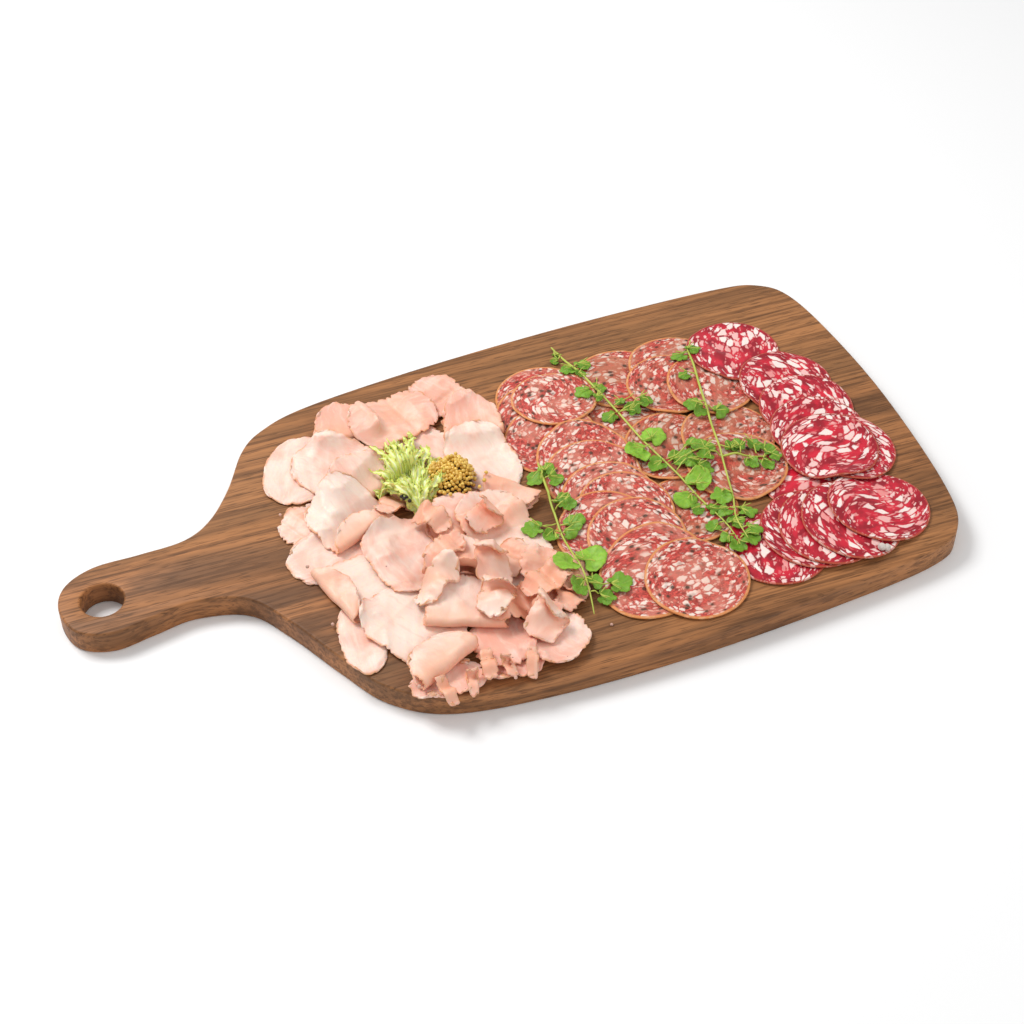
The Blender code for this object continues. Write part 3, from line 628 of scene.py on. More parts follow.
def make_piece(name, material, shape, nodes=()):
    """A mesh object from millimetre vertices, faces and the values stored on its points."""
    vertices, faces, values = shape
    mesh = bpy.data.meshes.new(name)
    mesh.from_pydata((np.asarray(vertices) * MM).tolist(), [],
                     [tuple(map(int, face)) for face in faces])
    for key, value in values.items():
        value = np.asarray(value, np.float32)
        kind, field = ('FLOAT_VECTOR', "vector") if value.ndim == 2 else ('FLOAT', "value")
        mesh.attributes.new(key, kind, 'POINT').data.foreach_set(field, value.ravel())
    mesh.materials.append(material)
    mesh.shade_smooth()
    mesh.update()
    piece = bpy.data.objects.new(name, mesh)
    bpy.context.scene.collection.objects.link(piece)
    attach(piece, "root")
    if nodes:
        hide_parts(*nodes)
    return piece


def grid_quads(rows, columns, round_columns=False):
    """Faces of a grid of points, closed along its columns if they run round."""
    index = np.arange(rows * columns).reshape(rows, columns)
    if round_columns:
        index = np.concatenate([index, index[:, :1]], axis=1)
    corners = index[:-1, :-1], index[1:, :-1], index[1:, 1:], index[:-1, 1:]
    return np.stack(corners, -1).reshape(-1, 4)


def fan(centre, ring):
    """Triangles from one point to a ring of points."""
    return np.stack([np.full(len(ring), centre), ring, np.roll(ring, -1)], -1)


def capped_rings(rows, columns):
    """Faces of rings closed at both ends by a point, the two points numbered after the rings."""
    count, ring = rows * columns, np.arange(columns)
    end = fan(count + 1, ring + count - columns)[:, (0, 2, 1)]
    return (grid_quads(rows, columns, round_columns=True).tolist() + fan(count, ring).tolist()
            + end.tolist())


def two_sided(upper, lower, quads, border):
    """Close an upper and a lower surface of the same quads with a wall along their border."""
    count = len(upper)
    after = np.roll(border, -1)
    wall = np.stack([border, border + count, after + count, after], -1)
    faces = np.concatenate([quads, quads[:, ::-1] + count, wall])
    return np.concatenate([upper, lower]), faces


def strip(upper, lower, rows, columns):
    """Close an upper and a lower surface on the same grid of points."""
    index = np.arange(rows * columns).reshape(rows, columns)
    border = np.concatenate([index[:, 0], index[-1, 1:], index[-2::-1, -1], index[0, -2:0:-1]])
    return two_sided(upper, lower, grid_quads(rows, columns), border)


def disc(upper, lower, columns):
    """Close an upper and a lower surface, each a middle point and then rings of points."""
    count = len(upper)
    quads = grid_quads((count - 1) // columns, columns, round_columns=True) + 1
    vertices, faces = two_sided(upper, lower, quads, np.arange(columns) + count - columns)
    cap = fan(0, np.arange(columns) + 1)
    return vertices, faces.tolist() + cap.tolist() + (cap[:, ::-1] + count).tolist()


def with_middle(middle, rings):
    """Values of a disc's points: the middle point's, then the rings'."""
    return np.concatenate([np.asarray(middle, float)[None], rings.reshape(-1, *np.shape(middle))])


def spokes(count):
    """Angles spread evenly over a full turn."""
    return FULL_TURN * np.arange(count) / count


def oval_places(radii, share, angle):
    """Places on an oval, at shares of its two radii and at angles round it."""
    return np.stack([share * radii[0] * np.cos(angle), share * radii[1] * np.sin(angle)], -1)


def phase(draw):
    """A random phase for a sine."""
    return draw.uniform(0.0, LARGEST_PHASE)


def unit(vectors):
    """Vectors made one long."""
    return vectors / np.maximum(np.linalg.norm(vectors, axis=-1, keepdims=True), TINY)


def normals_of(surface):
    """Unit normals of a grid of points, from the cross product of its two directions."""
    return unit(np.cross(np.gradient(surface, axis=0), np.gradient(surface, axis=1)))


def turned(spots, degrees, centre):
    """Turn plan positions about the origin and move them to a centre."""
    angle = math.radians(degrees)
    x, y = spots[..., 0], spots[..., 1]
    return np.stack([centre[0] + x * math.cos(angle) - y * math.sin(angle),
                     centre[1] + x * math.sin(angle) + y * math.cos(angle)], axis=-1)


def ripples(draw, place, waves, longest, shortest):
    """Smooth uneven line: a sum of sines of random phase, the short waves lower than the long."""
    length = np.geomspace(longest, shortest, waves)
    start = draw.uniform(0.0, FULL_TURN, waves)
    height = (length / longest) ** 0.75
    waves = height * np.sin(FULL_TURN * place[..., None] / length + start)
    return waves.sum(-1) / height.sum()


def torn_line(draw, place, depth):
    """Torn edge: smooth long waves, and sharp V-shaped nicks at random places and depths."""
    count = max(2, round((place.max() - place.min()) / NICK_EVERY))
    spots = draw.uniform(place.min(), place.max(), count)
    wide = draw.uniform(0.7, 2.6, count)
    deep = draw.uniform(0.3, 1.0, count) ** 1.5 * depth
    nicks = (np.clip(1.0 - np.abs(place[..., None] - spots) / wide, 0.0, 1.0) * deep).max(-1)
    return nicks + 0.5 * depth * (1.0 + ripples(draw, place, 7, 34.0, 2.4))


# ---------------------------------------------------------------- laying the pile

def blurred(field):
    """Mean of each cell and the cells within a few of it, along both axes."""
    for axis in (0, 1):
        reach = [(DRAPE_REACH, DRAPE_REACH) if a == axis else (0, 0) for a in (0, 1)]
        padded, count = np.pad(field, reach), field.shape[axis]
        parts = [np.take(padded, np.arange(k, k + count), axis)
                 for k in range(2 * DRAPE_REACH + 1)]
        field = sum(parts) / len(parts)
    return field


def widest(field, best=np.maximum):
    """The highest (or lowest) of each cell and its eight neighbours."""
    for axis in (0, 1):
        field = best(field, best(np.roll(field, 1, axis), np.roll(field, -1, axis)))
    return field


class Pile:
    """Heights of the pile's top on a grid of square cells over the board."""

    def __init__(self, top):
        self.height = np.full(GRID_CELLS, top)

    @staticmethod
    def cells_of(spots):
        """The cell that each place lies in."""
        return np.rint((spots[:, :2] - GRID_LOW) / CELL).astype(int).T

    def drape(self, lower, upper, rounds, gap=SLICE_GAP):
        """How far each point of a sheet rises to lie on the pile; the pile then takes it in.

        The sheet starts in full contact with the pile. Each round replaces every cell by the
        mean round it where that is higher, so that the sheet spans hollows and eases down steps.
        """
        under = np.full(GRID_CELLS, np.inf)
        np.minimum.at(under, tuple(self.cells_of(lower)), lower[:, 2])
        under = widest(under, np.minimum)
        covered = np.isfinite(under)
        block = tuple(slice(a.min(), a.max() + 1) for a in np.nonzero(covered))
        mask = covered[block]
        contact = np.where(mask, self.height[block] + gap - np.where(mask, under[block], 0.0), 0.0)
        share = np.maximum(blurred(mask.astype(float)), 1e-6)
        rise = contact
        for _ in range(rounds):
            rise = np.where(mask, np.maximum(contact, blurred(rise) / share), 0.0)
        field = np.zeros(GRID_CELLS)
        field[block] = np.where(mask, rise, blurred(rise) / share)
        lift = self.read(field, lower)
        over = np.full(GRID_CELLS, -np.inf)
        np.maximum.at(over, tuple(self.cells_of(upper)), upper[:, 2] + lift)
        self.height = np.maximum(self.height, widest(over))
        return lift

    def lay(self, lower, upper, rounds, gap=SLICE_GAP):
        """Drape a sheet and move its two faces up onto the pile."""
        lift = self.drape(lower, upper, rounds, gap)
        upper[:, 2] += lift
        lower[:, 2] += lift

    @staticmethod
    def read(field, spots):
        """Read a field between its cells, in proportion to how near each of the four is."""
        place = (spots[:, :2] - GRID_LOW) / CELL
        first = np.floor(place).astype(int)
        x, y = (place - first).T
        i, j = first.T
        return ((1.0 - x) * (1.0 - y) * field[i, j] + x * (1.0 - y) * field[i + 1, j]
                + (1.0 - x) * y * field[i, j + 1] + x * y * field[i + 1, j + 1])

    def top_at(self, spots, rounds=2):
        """Height of the pile's top at places in plan, taken a cell or two wide."""
        field = self.height
        for _ in range(rounds):
            field = widest(field)
        return self.read(field, spots)


BOARD_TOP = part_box("board")[1].z / MM
PILE = Pile(BOARD_TOP)


# ---------------------------------------------------------------- board

def through_knots(knots, steps):
    """Closed Catmull-Rom curve through the knots, with the given steps from knot to knot."""
    here = np.asarray(knots, dtype=float)
    before, after, beyond = np.roll(here, 1, 0), np.roll(here, -1, 0), np.roll(here, -2, 0)
    t = (np.arange(steps) / steps)[:, None, None]
    rows = 0.5 * (2.0 * here + (after - before) * t
                  + (2.0 * before - 5.0 * here + 4.0 * after - beyond) * t ** 2
                  + (3.0 * here - before - 3.0 * after + beyond) * t ** 3)
    return rows.transpose(1, 0, 2).reshape(-1, 2)


def inset_outline(outline, distance):
    """Move a closed clockwise outline inwards along its normals."""
    along = np.roll(outline, -1, 0) - np.roll(outline, 1, 0)
    inward = np.stack([along[:, 1], -along[:, 0]], axis=1)
    return outline + inward / np.linalg.norm(inward, axis=1, keepdims=True) * distance


def edge_levels(thickness, top, bottom):
    """Height and inset of each ring of a wall with quarter-round edges."""
    angle = np.linspace(0.0, 0.5 * math.pi, EDGE_STEPS)
    low = [(bottom * (1.0 - math.sin(a)), bottom * (1.0 - math.cos(a))) for a in angle[::-1]]
    high = [(thickness - top * (1.0 - math.sin(a)), top * (1.0 - math.cos(a))) for a in angle]
    return low + high


def board_mesh():
    """The outline and the hole, each carried up through rounded levels, joined by two faces."""
    top, bottom = settings().top_round / MM, settings().bottom_round / MM
    levels = edge_levels(BOARD_TOP, top, bottom)
    outline = through_knots(OUTLINE_KNOTS, OUTLINE_STEPS)
    angle = -spokes(HOLE_SIDES)
    hole = HOLE_CENTRE + oval_places((HOLE_RADIUS, HOLE_RADIUS), 1.0, angle)
    vertices, faces, ends = [], [], []
    start = 0
    for loop, side in ((outline, 1.0), (hole, -1.0)):
        rings = [np.column_stack([inset_outline(loop, side * inset),
                                  np.full(len(loop), height)]) for height, inset in levels]
        quads = grid_quads(len(levels), len(loop), round_columns=True) + start
        faces += (quads if side > 0 else quads[:, ::-1]).tolist()
        ends.append((start, start + (len(levels) - 1) * len(loop), len(loop)))
        vertices.append(np.concatenate(rings))
        start += len(levels) * len(loop)
    vertices = np.concatenate(vertices)
    for level in (0, 1):
        index = np.concatenate([np.arange(e[level], e[level] + e[2]) for e in ends])
        loops = [[tuple(vertices[i]) for i in range(e[level], e[level] + e[2])] for e in ends]
        for a, b, c in mathutils.geometry.tessellate_polygon(loops):
            p, q, r = vertices[index[a]], vertices[index[b]], vertices[index[c]]
            upward = np.cross(q - p, r - p)[2] > 0.0
            faces.append([index[k] for k in ((a, b, c) if upward == bool(level) else (a, c, b))])
    return vertices, faces, {}


# ---------------------------------------------------------------- salami

def slice_outline(node):
    """Middle, long and short radius and turn of a slice's oval, from its node's points in plan."""
    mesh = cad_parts[node].data
    points = np.empty(len(mesh.vertices) * 3, np.float32)
    mesh.vertices.foreach_get("co", points)
    plan = np.unique(np.round(points.reshape(-1, 3)[:, :2] / MM, 2), axis=0)
    middle = 0.5 * (plan.min(0) + plan.max(0))
    size, axes = np.linalg.eigh(np.cov((plan - plan.mean(0)).T))
    reach = np.abs((plan - middle) @ axes).max(0)
    return middle, reach[1], reach[0], math.atan2(axes[1, 1], axes[0, 1])


def salami_slice(number, name, oval, material, crust, nodes=()):
    """One slice: an oval disc on rings and spokes, thick as cut, with a soft rim and slight waves.

    Each point's place is its share of the oval's radius along its spoke; the oval wanders by a
    few tenths of a millimetre, and the slice's face rises and falls by smooth low waves.
    """
    draw = np.random.default_rng(SALAMI_DRAW + number)
    middle, *radii, turn = oval
    thickness = settings().salami_thickness / MM
    share = np.linspace(0.0, RIM_SHARES[0], SALAMI_RINGS + 1)[1:]
    share = np.concatenate([share, RIM_SHARES[1:]])[:, None]
    around = spokes(SALAMI_SPOKES)[None, :]
    wander = 1.0 + SLICE_WANDER * ripples(draw, around * 30.0, 6, 188.5, 11.8)
    places = oval_places(radii, share * wander, around)
    x, y = places[..., 0], places[..., 1]
    curl = draw.uniform(*SLICE_CURL) * share ** 6
    curl = curl * (0.5 + 0.5 * np.sin(around * 2.0 + phase(draw)))
    wave = SLICE_WAVE * np.sin(x * 0.13 + phase(draw)) * np.sin(y * 0.11 + phase(draw))
    rounding = ((share - 1.0 + RIM_ROUND) / RIM_ROUND).clip(0.0, 1.0)
    half = 0.5 * thickness * np.sqrt(np.clip(1.0 - rounding ** 2, RIM_THINNEST ** 2, 1.0))
    spots = with_middle(middle, turned(places, math.degrees(turn), middle))
    rise = with_middle(0.0, curl + wave)
    half = with_middle(0.5 * thickness, np.broadcast_to(half, x.shape))
    upper, lower = np.column_stack([spots, rise + half]), np.column_stack([spots, rise - half])
    PILE.lay(lower, upper, SALAMI_ROUNDS)
    vertices, faces = disc(upper, lower, SALAMI_SPOKES)
    swirl = draw.uniform(-PATTERN_SWIRL, PATTERN_SWIRL)
    stretch = share * (1.0 + PATTERN_SPREAD * share ** 5)
    angle = around + swirl * share + phase(draw)
    pattern = with_middle((0.0, 0.0), oval_places(radii, stretch, angle))
    grain = np.column_stack([pattern, np.full(len(pattern), SALAMI_PATTERN_STEP * number)])
    rim = with_middle(0.0, np.broadcast_to(share, x.shape))
    values = {"grain": np.tile(grain, (2, 1)), "rim": np.tile(rim, 2),
              "crust": np.full(len(vertices), crust)}
    return make_piece(name, material, (vertices, faces, values), nodes)


# ---------------------------------------------------------------- ham

def flat_ends(length, folds):
    """Where the first fold starts and the last one ends, or the middle of a sheet with none."""
    if not folds:
        return 0.5, 0.5
    edges = [(place, 0.5 * abs(math.radians(degrees)) * radius / length)
             for place, degrees, radius in folds]
    return edges[0][0] - edges[0][1], edges[-1][0] + edges[-1][1]


def ham_surface(draw, length, width, folds, wave, ragged):
    """Middle surface of a folded sheet, on a grid of stations along it and rows across it.

    The sheet's heading starts level and turns smoothly by each fold's angle within its bend, so
    the profile is the running sum of the heading's cosine and sine. The outline is widest at the
    middle, is drawn in at the corners and is torn along its edges by short random waves. Low
    waves cross the sheet, and its rim lifts here and there. Returned with it are how near each
    point is to the rim and how close it is to a fold.
    """
    path = (np.arange(PROFILE_STEPS) + 0.5) / PROFILE_STEPS
    heading = np.zeros(PROFILE_STEPS)
    closeness = np.zeros(PROFILE_STEPS)
    for place, degrees, radius in folds:
        bend = abs(math.radians(degrees)) * radius / length
        heading += math.radians(degrees) * np.clip((path - place) / bend + 0.5, 0.0, 1.0)
        sharpness = min(1.0, abs(degrees) / 120.0)
        closeness += sharpness * np.exp(-((path - place) / (bend + 0.06)) ** 2)
    step = length / PROFILE_STEPS
    marks = np.linspace(0.0, 1.0, PROFILE_STEPS + 1)
    run = np.concatenate([[0.0], np.cumsum(np.cos(heading)) * step])
    climb = np.concatenate([[0.0], np.cumsum(np.sin(heading)) * step])
    run -= 0.5 * (run.min() + run.max())
    even = np.linspace(0.0, 1.0, round(length / STATION_EVERY))[:, None]
    stations = CROWDED * (0.5 - 0.5 * np.cos(even * math.pi)) + (1.0 - CROWDED) * even
    even = np.linspace(-1.0, 1.0, round(width / ROW_EVERY))[None, :]
    rows = CROWDED * np.sin(0.5 * even * math.pi) + (1.0 - CROWDED) * even
    first, last = flat_ends(length, folds)
    before, beyond = stations / first, (1.0 - stations) / (1.0 - last)
    near_start, near_end = np.clip(1.0 - before, 0.0, 1.0), np.clip(1.0 - beyond, 0.0, 1.0)
    start_draw = min(CORNER_ROUND, CORNER_LIMIT * first) * near_start
    end_draw = min(CORNER_ROUND, CORNER_LIMIT * (1.0 - last)) * near_end
    depth = NICK_DEPTH * ragged
    torn_start = torn_line(draw, rows * width * 0.5, depth) / length
    torn_end = torn_line(draw, rows * width * 0.5, depth) / length
    spot = stations + rows ** 2 * (start_draw - end_draw)
    spot = spot + torn_start * near_start ** 3 - torn_end * near_end ** 3
    roundness = np.sqrt(np.clip(1.0 - (2.0 * stations - 1.0) ** 2, 0.0, 1.0))
    torn = np.where(rows > 0.0, torn_line(draw, stations * length, depth),
                    torn_line(draw, stations * length, depth))
    side = 0.5 * width * (END_WIDTH + (1.0 - END_WIDTH) * roundness)
    across = side * rows - torn * np.abs(rows) ** 6 * np.sign(rows)
    ripple = wave * np.sin(9.0 * stations + 2.2 * rows) * np.abs(rows)
    rim = np.maximum(np.abs(rows), np.abs(2.0 * stations - 1.0) ** 1.5)
    curl = np.clip(ripples(draw, stations * length + rows * 23.0, 4, 60.0, 14.0), 0.0, 1.0)
    crease = ripples(draw, stations * length * 0.8 + rows * width * 0.35, 5, 34.0, 6.0)
    dimple = ripples(draw, rows * width * 0.5 - stations * length * 0.3, 4, 28.0, 7.0)
    height = np.interp(spot, marks, climb) + ripple
    height = height + RIM_LIFT * curl * rim ** 6 + CREASE_HEIGHT * crease + DIMPLE_HEIGHT * dimple
    surface = np.stack([np.interp(spot, marks, run), across, height], axis=-1)
    end_gap = np.minimum(stations, 1.0 - stations) * length
    edge_gap = np.minimum((1.0 - np.abs(rows)) * side, end_gap)
    # Closeness to a fold, where the ham's finish paints shade.
    fold = np.interp(spot, marks[:-1] + 0.5 / PROFILE_STEPS, closeness).clip(0.0, 1.0)
    return surface, edge_gap, fold


def ham_sheet(number, name, centre, turn, length, width, folds, wave, ragged, pink, material,
              nodes=()):
    """One draped sheet of ham, thinning towards its rim."""
    draw = np.random.default_rng(HAM_DRAW + number)
    middle, edge_gap, fold = ham_surface(draw, length, width, folds, wave, ragged)
    thinning = 0.25 + 0.75 * np.clip(edge_gap / THIN_WITHIN, 0.0, 1.0) ** 0.6
    half = 0.5 * settings().ham_thickness / MM * thinning
    reach = half[..., None] * normals_of(middle)
    both = np.stack([middle + reach, middle - reach])
    both[..., :2] = turned(both[..., :2], turn, centre)
    rows, columns = middle.shape[:2]
    both = both.reshape(-1, 3)
    both[:, 2] += PILE.drape(both, both, HAM_ROUNDS)
    vertices, faces = strip(*np.split(both, 2), rows, columns)
    along, aside = np.meshgrid(np.linspace(0.0, length, rows),
                               np.linspace(-0.5 * width, 0.5 * width, columns), indexing="ij")
    grain = np.stack([along, aside, np.full(along.shape, HAM_PATTERN_STEP * number)], -1).reshape(-1, 3)
    edge = (1.0 - np.clip(edge_gap / BROWN_WITHIN, 0.0, 1.0)).ravel()
    values = {"grain": np.tile(grain, (2, 1)), "edge": np.tile(edge, 2),
              "fold": np.tile(fold.ravel(), 2), "pink": np.full(len(vertices), pink)}
    return make_piece(name, material, (vertices, faces, values), nodes)


# ---------------------------------------------------------------- herbs, leaf and seeds

def joined(parts):
    """One set of vertices and faces from many, with each part's stored values joined in turn."""
    starts = np.cumsum([0] + [len(vertices) for vertices, _, _ in parts])
    faces = [[int(corner + start) for corner in face]
             for (_, part, _), start in zip(parts, starts) for face in part]
    values = {key: np.concatenate([v[key] for _, _, v in parts]) for key in parts[0][2]}
    return np.concatenate([v for v, _, _ in parts]), faces, values


def frames_along(path):
    """Two unit normals at each point of a path, the first of them level."""
    along = unit(np.gradient(path, axis=0))
    across = unit(np.cross(along, np.array((0.0, 0.0, 1.0)) + 1e-4))
    return across, np.cross(across, along)


def tube(path, radii, sides=7, tone=0.5):
    """A closed tube: circles of the given radii across a path, drawn to a point at both ends."""
    across, up = frames_along(path)
    angle = spokes(sides)[None, :, None]
    circle = across[:, None] * np.cos(angle) + up[:, None] * np.sin(angle)
    swell = 1.0 - (2.0 * np.linspace(0, 1, len(path)) - 1.0) ** 8
    radii = radii * np.sqrt(np.clip(swell, 0, 1))
    rings = (path[:, None] + radii[:, None, None] * circle)[1:-1].reshape(-1, 3)
    vertices = np.concatenate([rings, path[:1], path[-1:]])
    return vertices, capped_rings(len(path) - 2, sides), {"tone": np.full(len(vertices), tone)}


def smoothed(line, rounds):
    """A line of heights, raised in each round to the mean round it where that is higher."""
    for _ in range(rounds):
        padded = np.pad(line, 2, mode="edge")
        line = np.maximum(line, np.convolve(padded, np.full(5, 0.2), "valid"))
    return line


def along_knots(knots, steps):
    """Open smooth curve through knots: the closed curve without its last stretch."""
    curve = through_knots([*knots, *knots[-2:0:-1]], steps)
    return curve[:(len(knots) - 1) * steps + 1]


def leaf_parts(draw, spot, across, turn, tone):
    """A lobed leaf: rings and spokes whose radius runs in and out as three or five lobes.

    With angle a from the tip, the radius is the leaf's own times 1 - d + d |cos(k a / 2)|^0.6,
    d being deep on small leaves, and cut in at the stalk. Inner rings run in and out less. The
    leaf cups by the square of the share of its radius, up or down, and ruffles by sines of three
    and of seven times the angle. Small teeth run round its edge.
    """
    radius = 0.5 * across
    share = np.linspace(0.0, 1.0, LEAF_RINGS + 1)[1:, None]
    around = spokes(LEAF_SPOKES)[None, :]
    lobes = draw.choice((3.0, 5.0))
    deep = LARGE_CUTS if tone > LARGE_LEAF_TONE else SMALL_CUTS
    reach = 1.0 - deep + deep * np.abs(np.cos(0.5 * lobes * around)) ** 0.6
    reach = reach * (1.0 - 0.5 * np.exp(-((np.abs(around - math.pi)) / 0.35) ** 2))
    reach = reach * (1.0 + LEAF_TEETH * np.sin(18.0 * around + phase(draw)))
    reach = reach * (1.0 + 0.10 * np.sin(around + phase(draw)))
    scale = radius * share * (1.0 - (1.0 - reach) * share ** 1.6)
    x, y = scale * np.cos(around) * 1.06, scale * np.sin(around)
    ruffle = np.sin(3.0 * around + phase(draw)) + 0.5 * np.sin(7.0 * around + phase(draw))
    cup = draw.choice((-1.0, 1.0, 1.0)) * draw.uniform(*LEAF_CUP)
    spots = with_middle((0.0, 0.0), np.stack([x, y], -1))
    rise = with_middle(0.0, across * (cup * share ** 2 + LEAF_RUFFLE * ruffle * share ** 2))
    plan = turned(spots, turn, spot)
    upper = np.column_stack([plan, rise + LEAF_HALF])
    lower = np.column_stack([plan, rise - LEAF_HALF])
    PILE.lay(lower, upper, LEAF_ROUNDS, LEAF_GAP)
    vein = np.exp(-(np.sin(0.5 * lobes * around) / 0.16) ** 2) * (1.0 - 0.6 * share)
    grain = np.column_stack([spots, np.full(len(spots), spot[0])])
    values = {"tone": np.full(2 * len(spots), tone * draw.uniform(0.8, 1.1)),
              "vein": np.tile(with_middle(1.0, vein), 2), "grain": np.tile(grain, (2, 1))}
    return *disc(upper, lower, LEAF_SPOKES), values


def sprig_parts(draw, stem, leaves):
    """Stalks, needles and leaves of one sprig, laid over the pile."""
    plan = along_knots(stem, 10)
    radii = np.linspace(*STEM_RADII, len(plan))
    stalk = np.column_stack([plan, smoothed(PILE.top_at(plan), STEM_ROUNDS) + STEM_RISE])
    stalks, blades = [tube(stalk, radii)], []
    for x, y, across, turn, tone in leaves:
        spot = np.array((x, y), float)
        blades.append(leaf_parts(draw, spot, across * LEAF_SCALE, turn, tone))
        nearest = stalk[np.argmin(np.linalg.norm(plan - spot, axis=1))]
        angle = math.radians(turn)
        join = spot - STALK_JOIN * across * np.array((math.cos(angle), math.sin(angle)))
        t = np.linspace(0.0, 1.0, 7)
        way = nearest[:2] * (1.0 - t[:, None]) + join * t[:, None]
        top = PILE.top_at(way)
        tall = np.maximum(top + 0.5, nearest[2] * (1.0 - t) + top * t)
        stalks.append(tube(np.column_stack([way, tall]), STALK_RADIUS, 6))
        for _ in range(draw.integers(2, 6)):
            lean = angle + draw.uniform(-NEEDLE_LEAN, NEEDLE_LEAN)
            length = draw.uniform(*NEEDLE_LENGTH)
            t = np.linspace(0.0, 1.0, 6)[:, None]
            way = join + t * length * np.array((math.cos(lean), math.sin(lean)))
            way = way + t ** 2 * draw.uniform(-NEEDLE_BEND, NEEDLE_BEND, 2)
            tall = PILE.top_at(way) + 0.4 + 1.5 * t[:, 0]
            stalks.append(tube(np.column_stack([way, tall]), NEEDLE_RADIUS, 5, 0.0))
    return stalks, blades


def mound_field(centre, radii, high, turn):
    """Heights of a low dome on the pile's own grid: high times (1 - share^2)^0.6."""
    x = GRID_LOW[0] + CELL * np.arange(GRID_CELLS[0])[:, None] - centre[0]
    y = GRID_LOW[1] + CELL * np.arange(GRID_CELLS[1])[None, :] - centre[1]
    angle = math.radians(turn)
    along = x * math.cos(angle) + y * math.sin(angle)
    aside = y * math.cos(angle) - x * math.sin(angle)
    square = (along / radii[0]) ** 2 + (aside / radii[1]) ** 2
    return np.clip(1.0 - square, 0.0, 1.0) ** 0.6 * high


def core_parts(centre, radii, high, turn, base):
    """A closed low dome on rings and spokes, laid on the pile, with an uneven foot."""
    share = np.linspace(0.0, 1.0, CORE_RINGS + 1)[1:, None]
    around = spokes(CORE_SPOKES)[None, :]
    spots = oval_places(radii, share, around)
    dome = np.broadcast_to(np.clip(1.0 - share ** 2, 0.0, 1.0) ** 0.6, spots.shape[:2])
    spots, dome = turned(with_middle((0.0, 0.0), spots), turn, centre), with_middle(1.0, dome)
    low = PILE.read(base, spots)
    upper, lower = (np.column_stack([spots, z]) for z in (low + 0.3 + high * dome, low + 0.1))
    return *disc(upper, lower, CORE_SPOKES), {"tone": np.full(2 * len(spots), 0.4)}


def seed_parts(draw, centres, size):
    """Seeds as slightly flattened balls on a grid of latitude and longitude."""
    rows, columns = SEED_GRID
    tilt = (math.pi * (np.arange(rows) + 1.0) / (rows + 1.0))[:, None]
    around = spokes(columns)[None, :]
    level = oval_places((1.0, 1.0), np.sin(tilt), around)
    ball = np.dstack([level, np.broadcast_to(np.cos(tilt), level.shape[:2])]).reshape(-1, 3)
    ball = np.concatenate([ball, [[0.0, 0.0, 1.0], [0.0, 0.0, -1.0]]])
    faces = capped_rings(rows, columns)
    parts = []
    for centre in centres:
        turn = np.linalg.qr(draw.normal(size=(3, 3)))[0]
        turn = turn * np.sign(np.linalg.det(turn))
        shape = 0.5 * size * draw.uniform(*SEED_SIZES) * SEED_SHAPE
        parts.append((centre + (ball * shape) @ turn.T, faces,
                      {"tone": np.full(len(ball), draw.uniform(0.0, 1.0))}))
    return parts


def strand_parts(draw, start, end, lift, width, base):
    """One frond of curly leaf: a rib with toothed blades on both sides, a thin closed strip.

    The rib goes from start to end with a sideways S-bend and rises as lift times sin(pi u). At
    each step the strip's half width is its own times sin(pi u)^0.5, in and out by teeth, and its
    two blades fold up about the rib and curl over each other by sines of the way along.
    """
    steps, rows = STRAND_GRID
    u = np.linspace(0.0, 1.0, steps)
    v = np.linspace(-1.0, 1.0, rows)[None, :]
    side = np.array((-(end - start)[1], (end - start)[0])) / np.linalg.norm(end - start)
    bend = draw.uniform(-3.0, 3.0) * np.sin(math.pi * u)
    bend = bend + draw.uniform(0.5, 1.4) * np.sin(FULL_TURN * (1.5 * u + draw.uniform(0, 1)))
    way = start + (end - start) * u[:, None] + bend[:, None] * side
    arch = lift * np.sin(math.pi * np.clip(u * 1.06, 0, 1)) ** 0.8
    rib = np.column_stack([way, PILE.read(base, way) + 0.8 + arch])
    across, up = frames_along(rib)
    u = u[:, None]
    teeth = 0.40 + 0.60 * np.abs(np.sin(math.pi * (u * 11.0 + draw.uniform(0, 1)))) ** 0.7
    teeth = 1.0 - (1.0 - teeth) * np.abs(v) ** 0.8
    half = width * 0.5 * np.sin(math.pi * np.clip(0.06 + 0.94 * u, 0, 1)) ** 0.5 * teeth
    curl = 0.55 + 0.9 * np.sin(FULL_TURN * (u * 2.6 + 0.25 * np.sign(v) + draw.uniform(0, 1)))
    out = half * v * np.cos(0.9 * curl * np.abs(v))
    rise = half * np.abs(v) * np.sin(0.9 * curl * np.abs(v))
    middle = rib[:, None] + out[..., None] * across[:, None] + rise[..., None] * up[:, None]
    thick = 0.18 + 0.45 * np.exp(-(v / 0.16) ** 2)
    thick = thick * (0.35 + 0.65 * np.sin(math.pi * np.clip(u, 0.02, 0.98)))
    reach = thick[..., None] * normals_of(middle)
    upper, lower = (middle + reach).reshape(-1, 3), (middle - reach).reshape(-1, 3)
    tone = (np.abs(v) * (0.45 + 0.75 * u)).ravel()
    return *strip(upper, lower, steps, rows), {"tone": np.tile(tone, 2)}


# ---------------------------------------------------------------- operators

class AddBoard(bpy.types.Operator):
    """Make the walnut board with its rounded edges and its holed handle"""
    bl_idname = "board_scene.add_board"
    bl_label = "Board"

    def execute(self, context):
        board = make_piece("walnut_board", walnut_finish(), board_mesh(), ["board"])
        board.data.set_sharp_from_angle(angle=FACE_ANGLE)
        return {'FINISHED'}


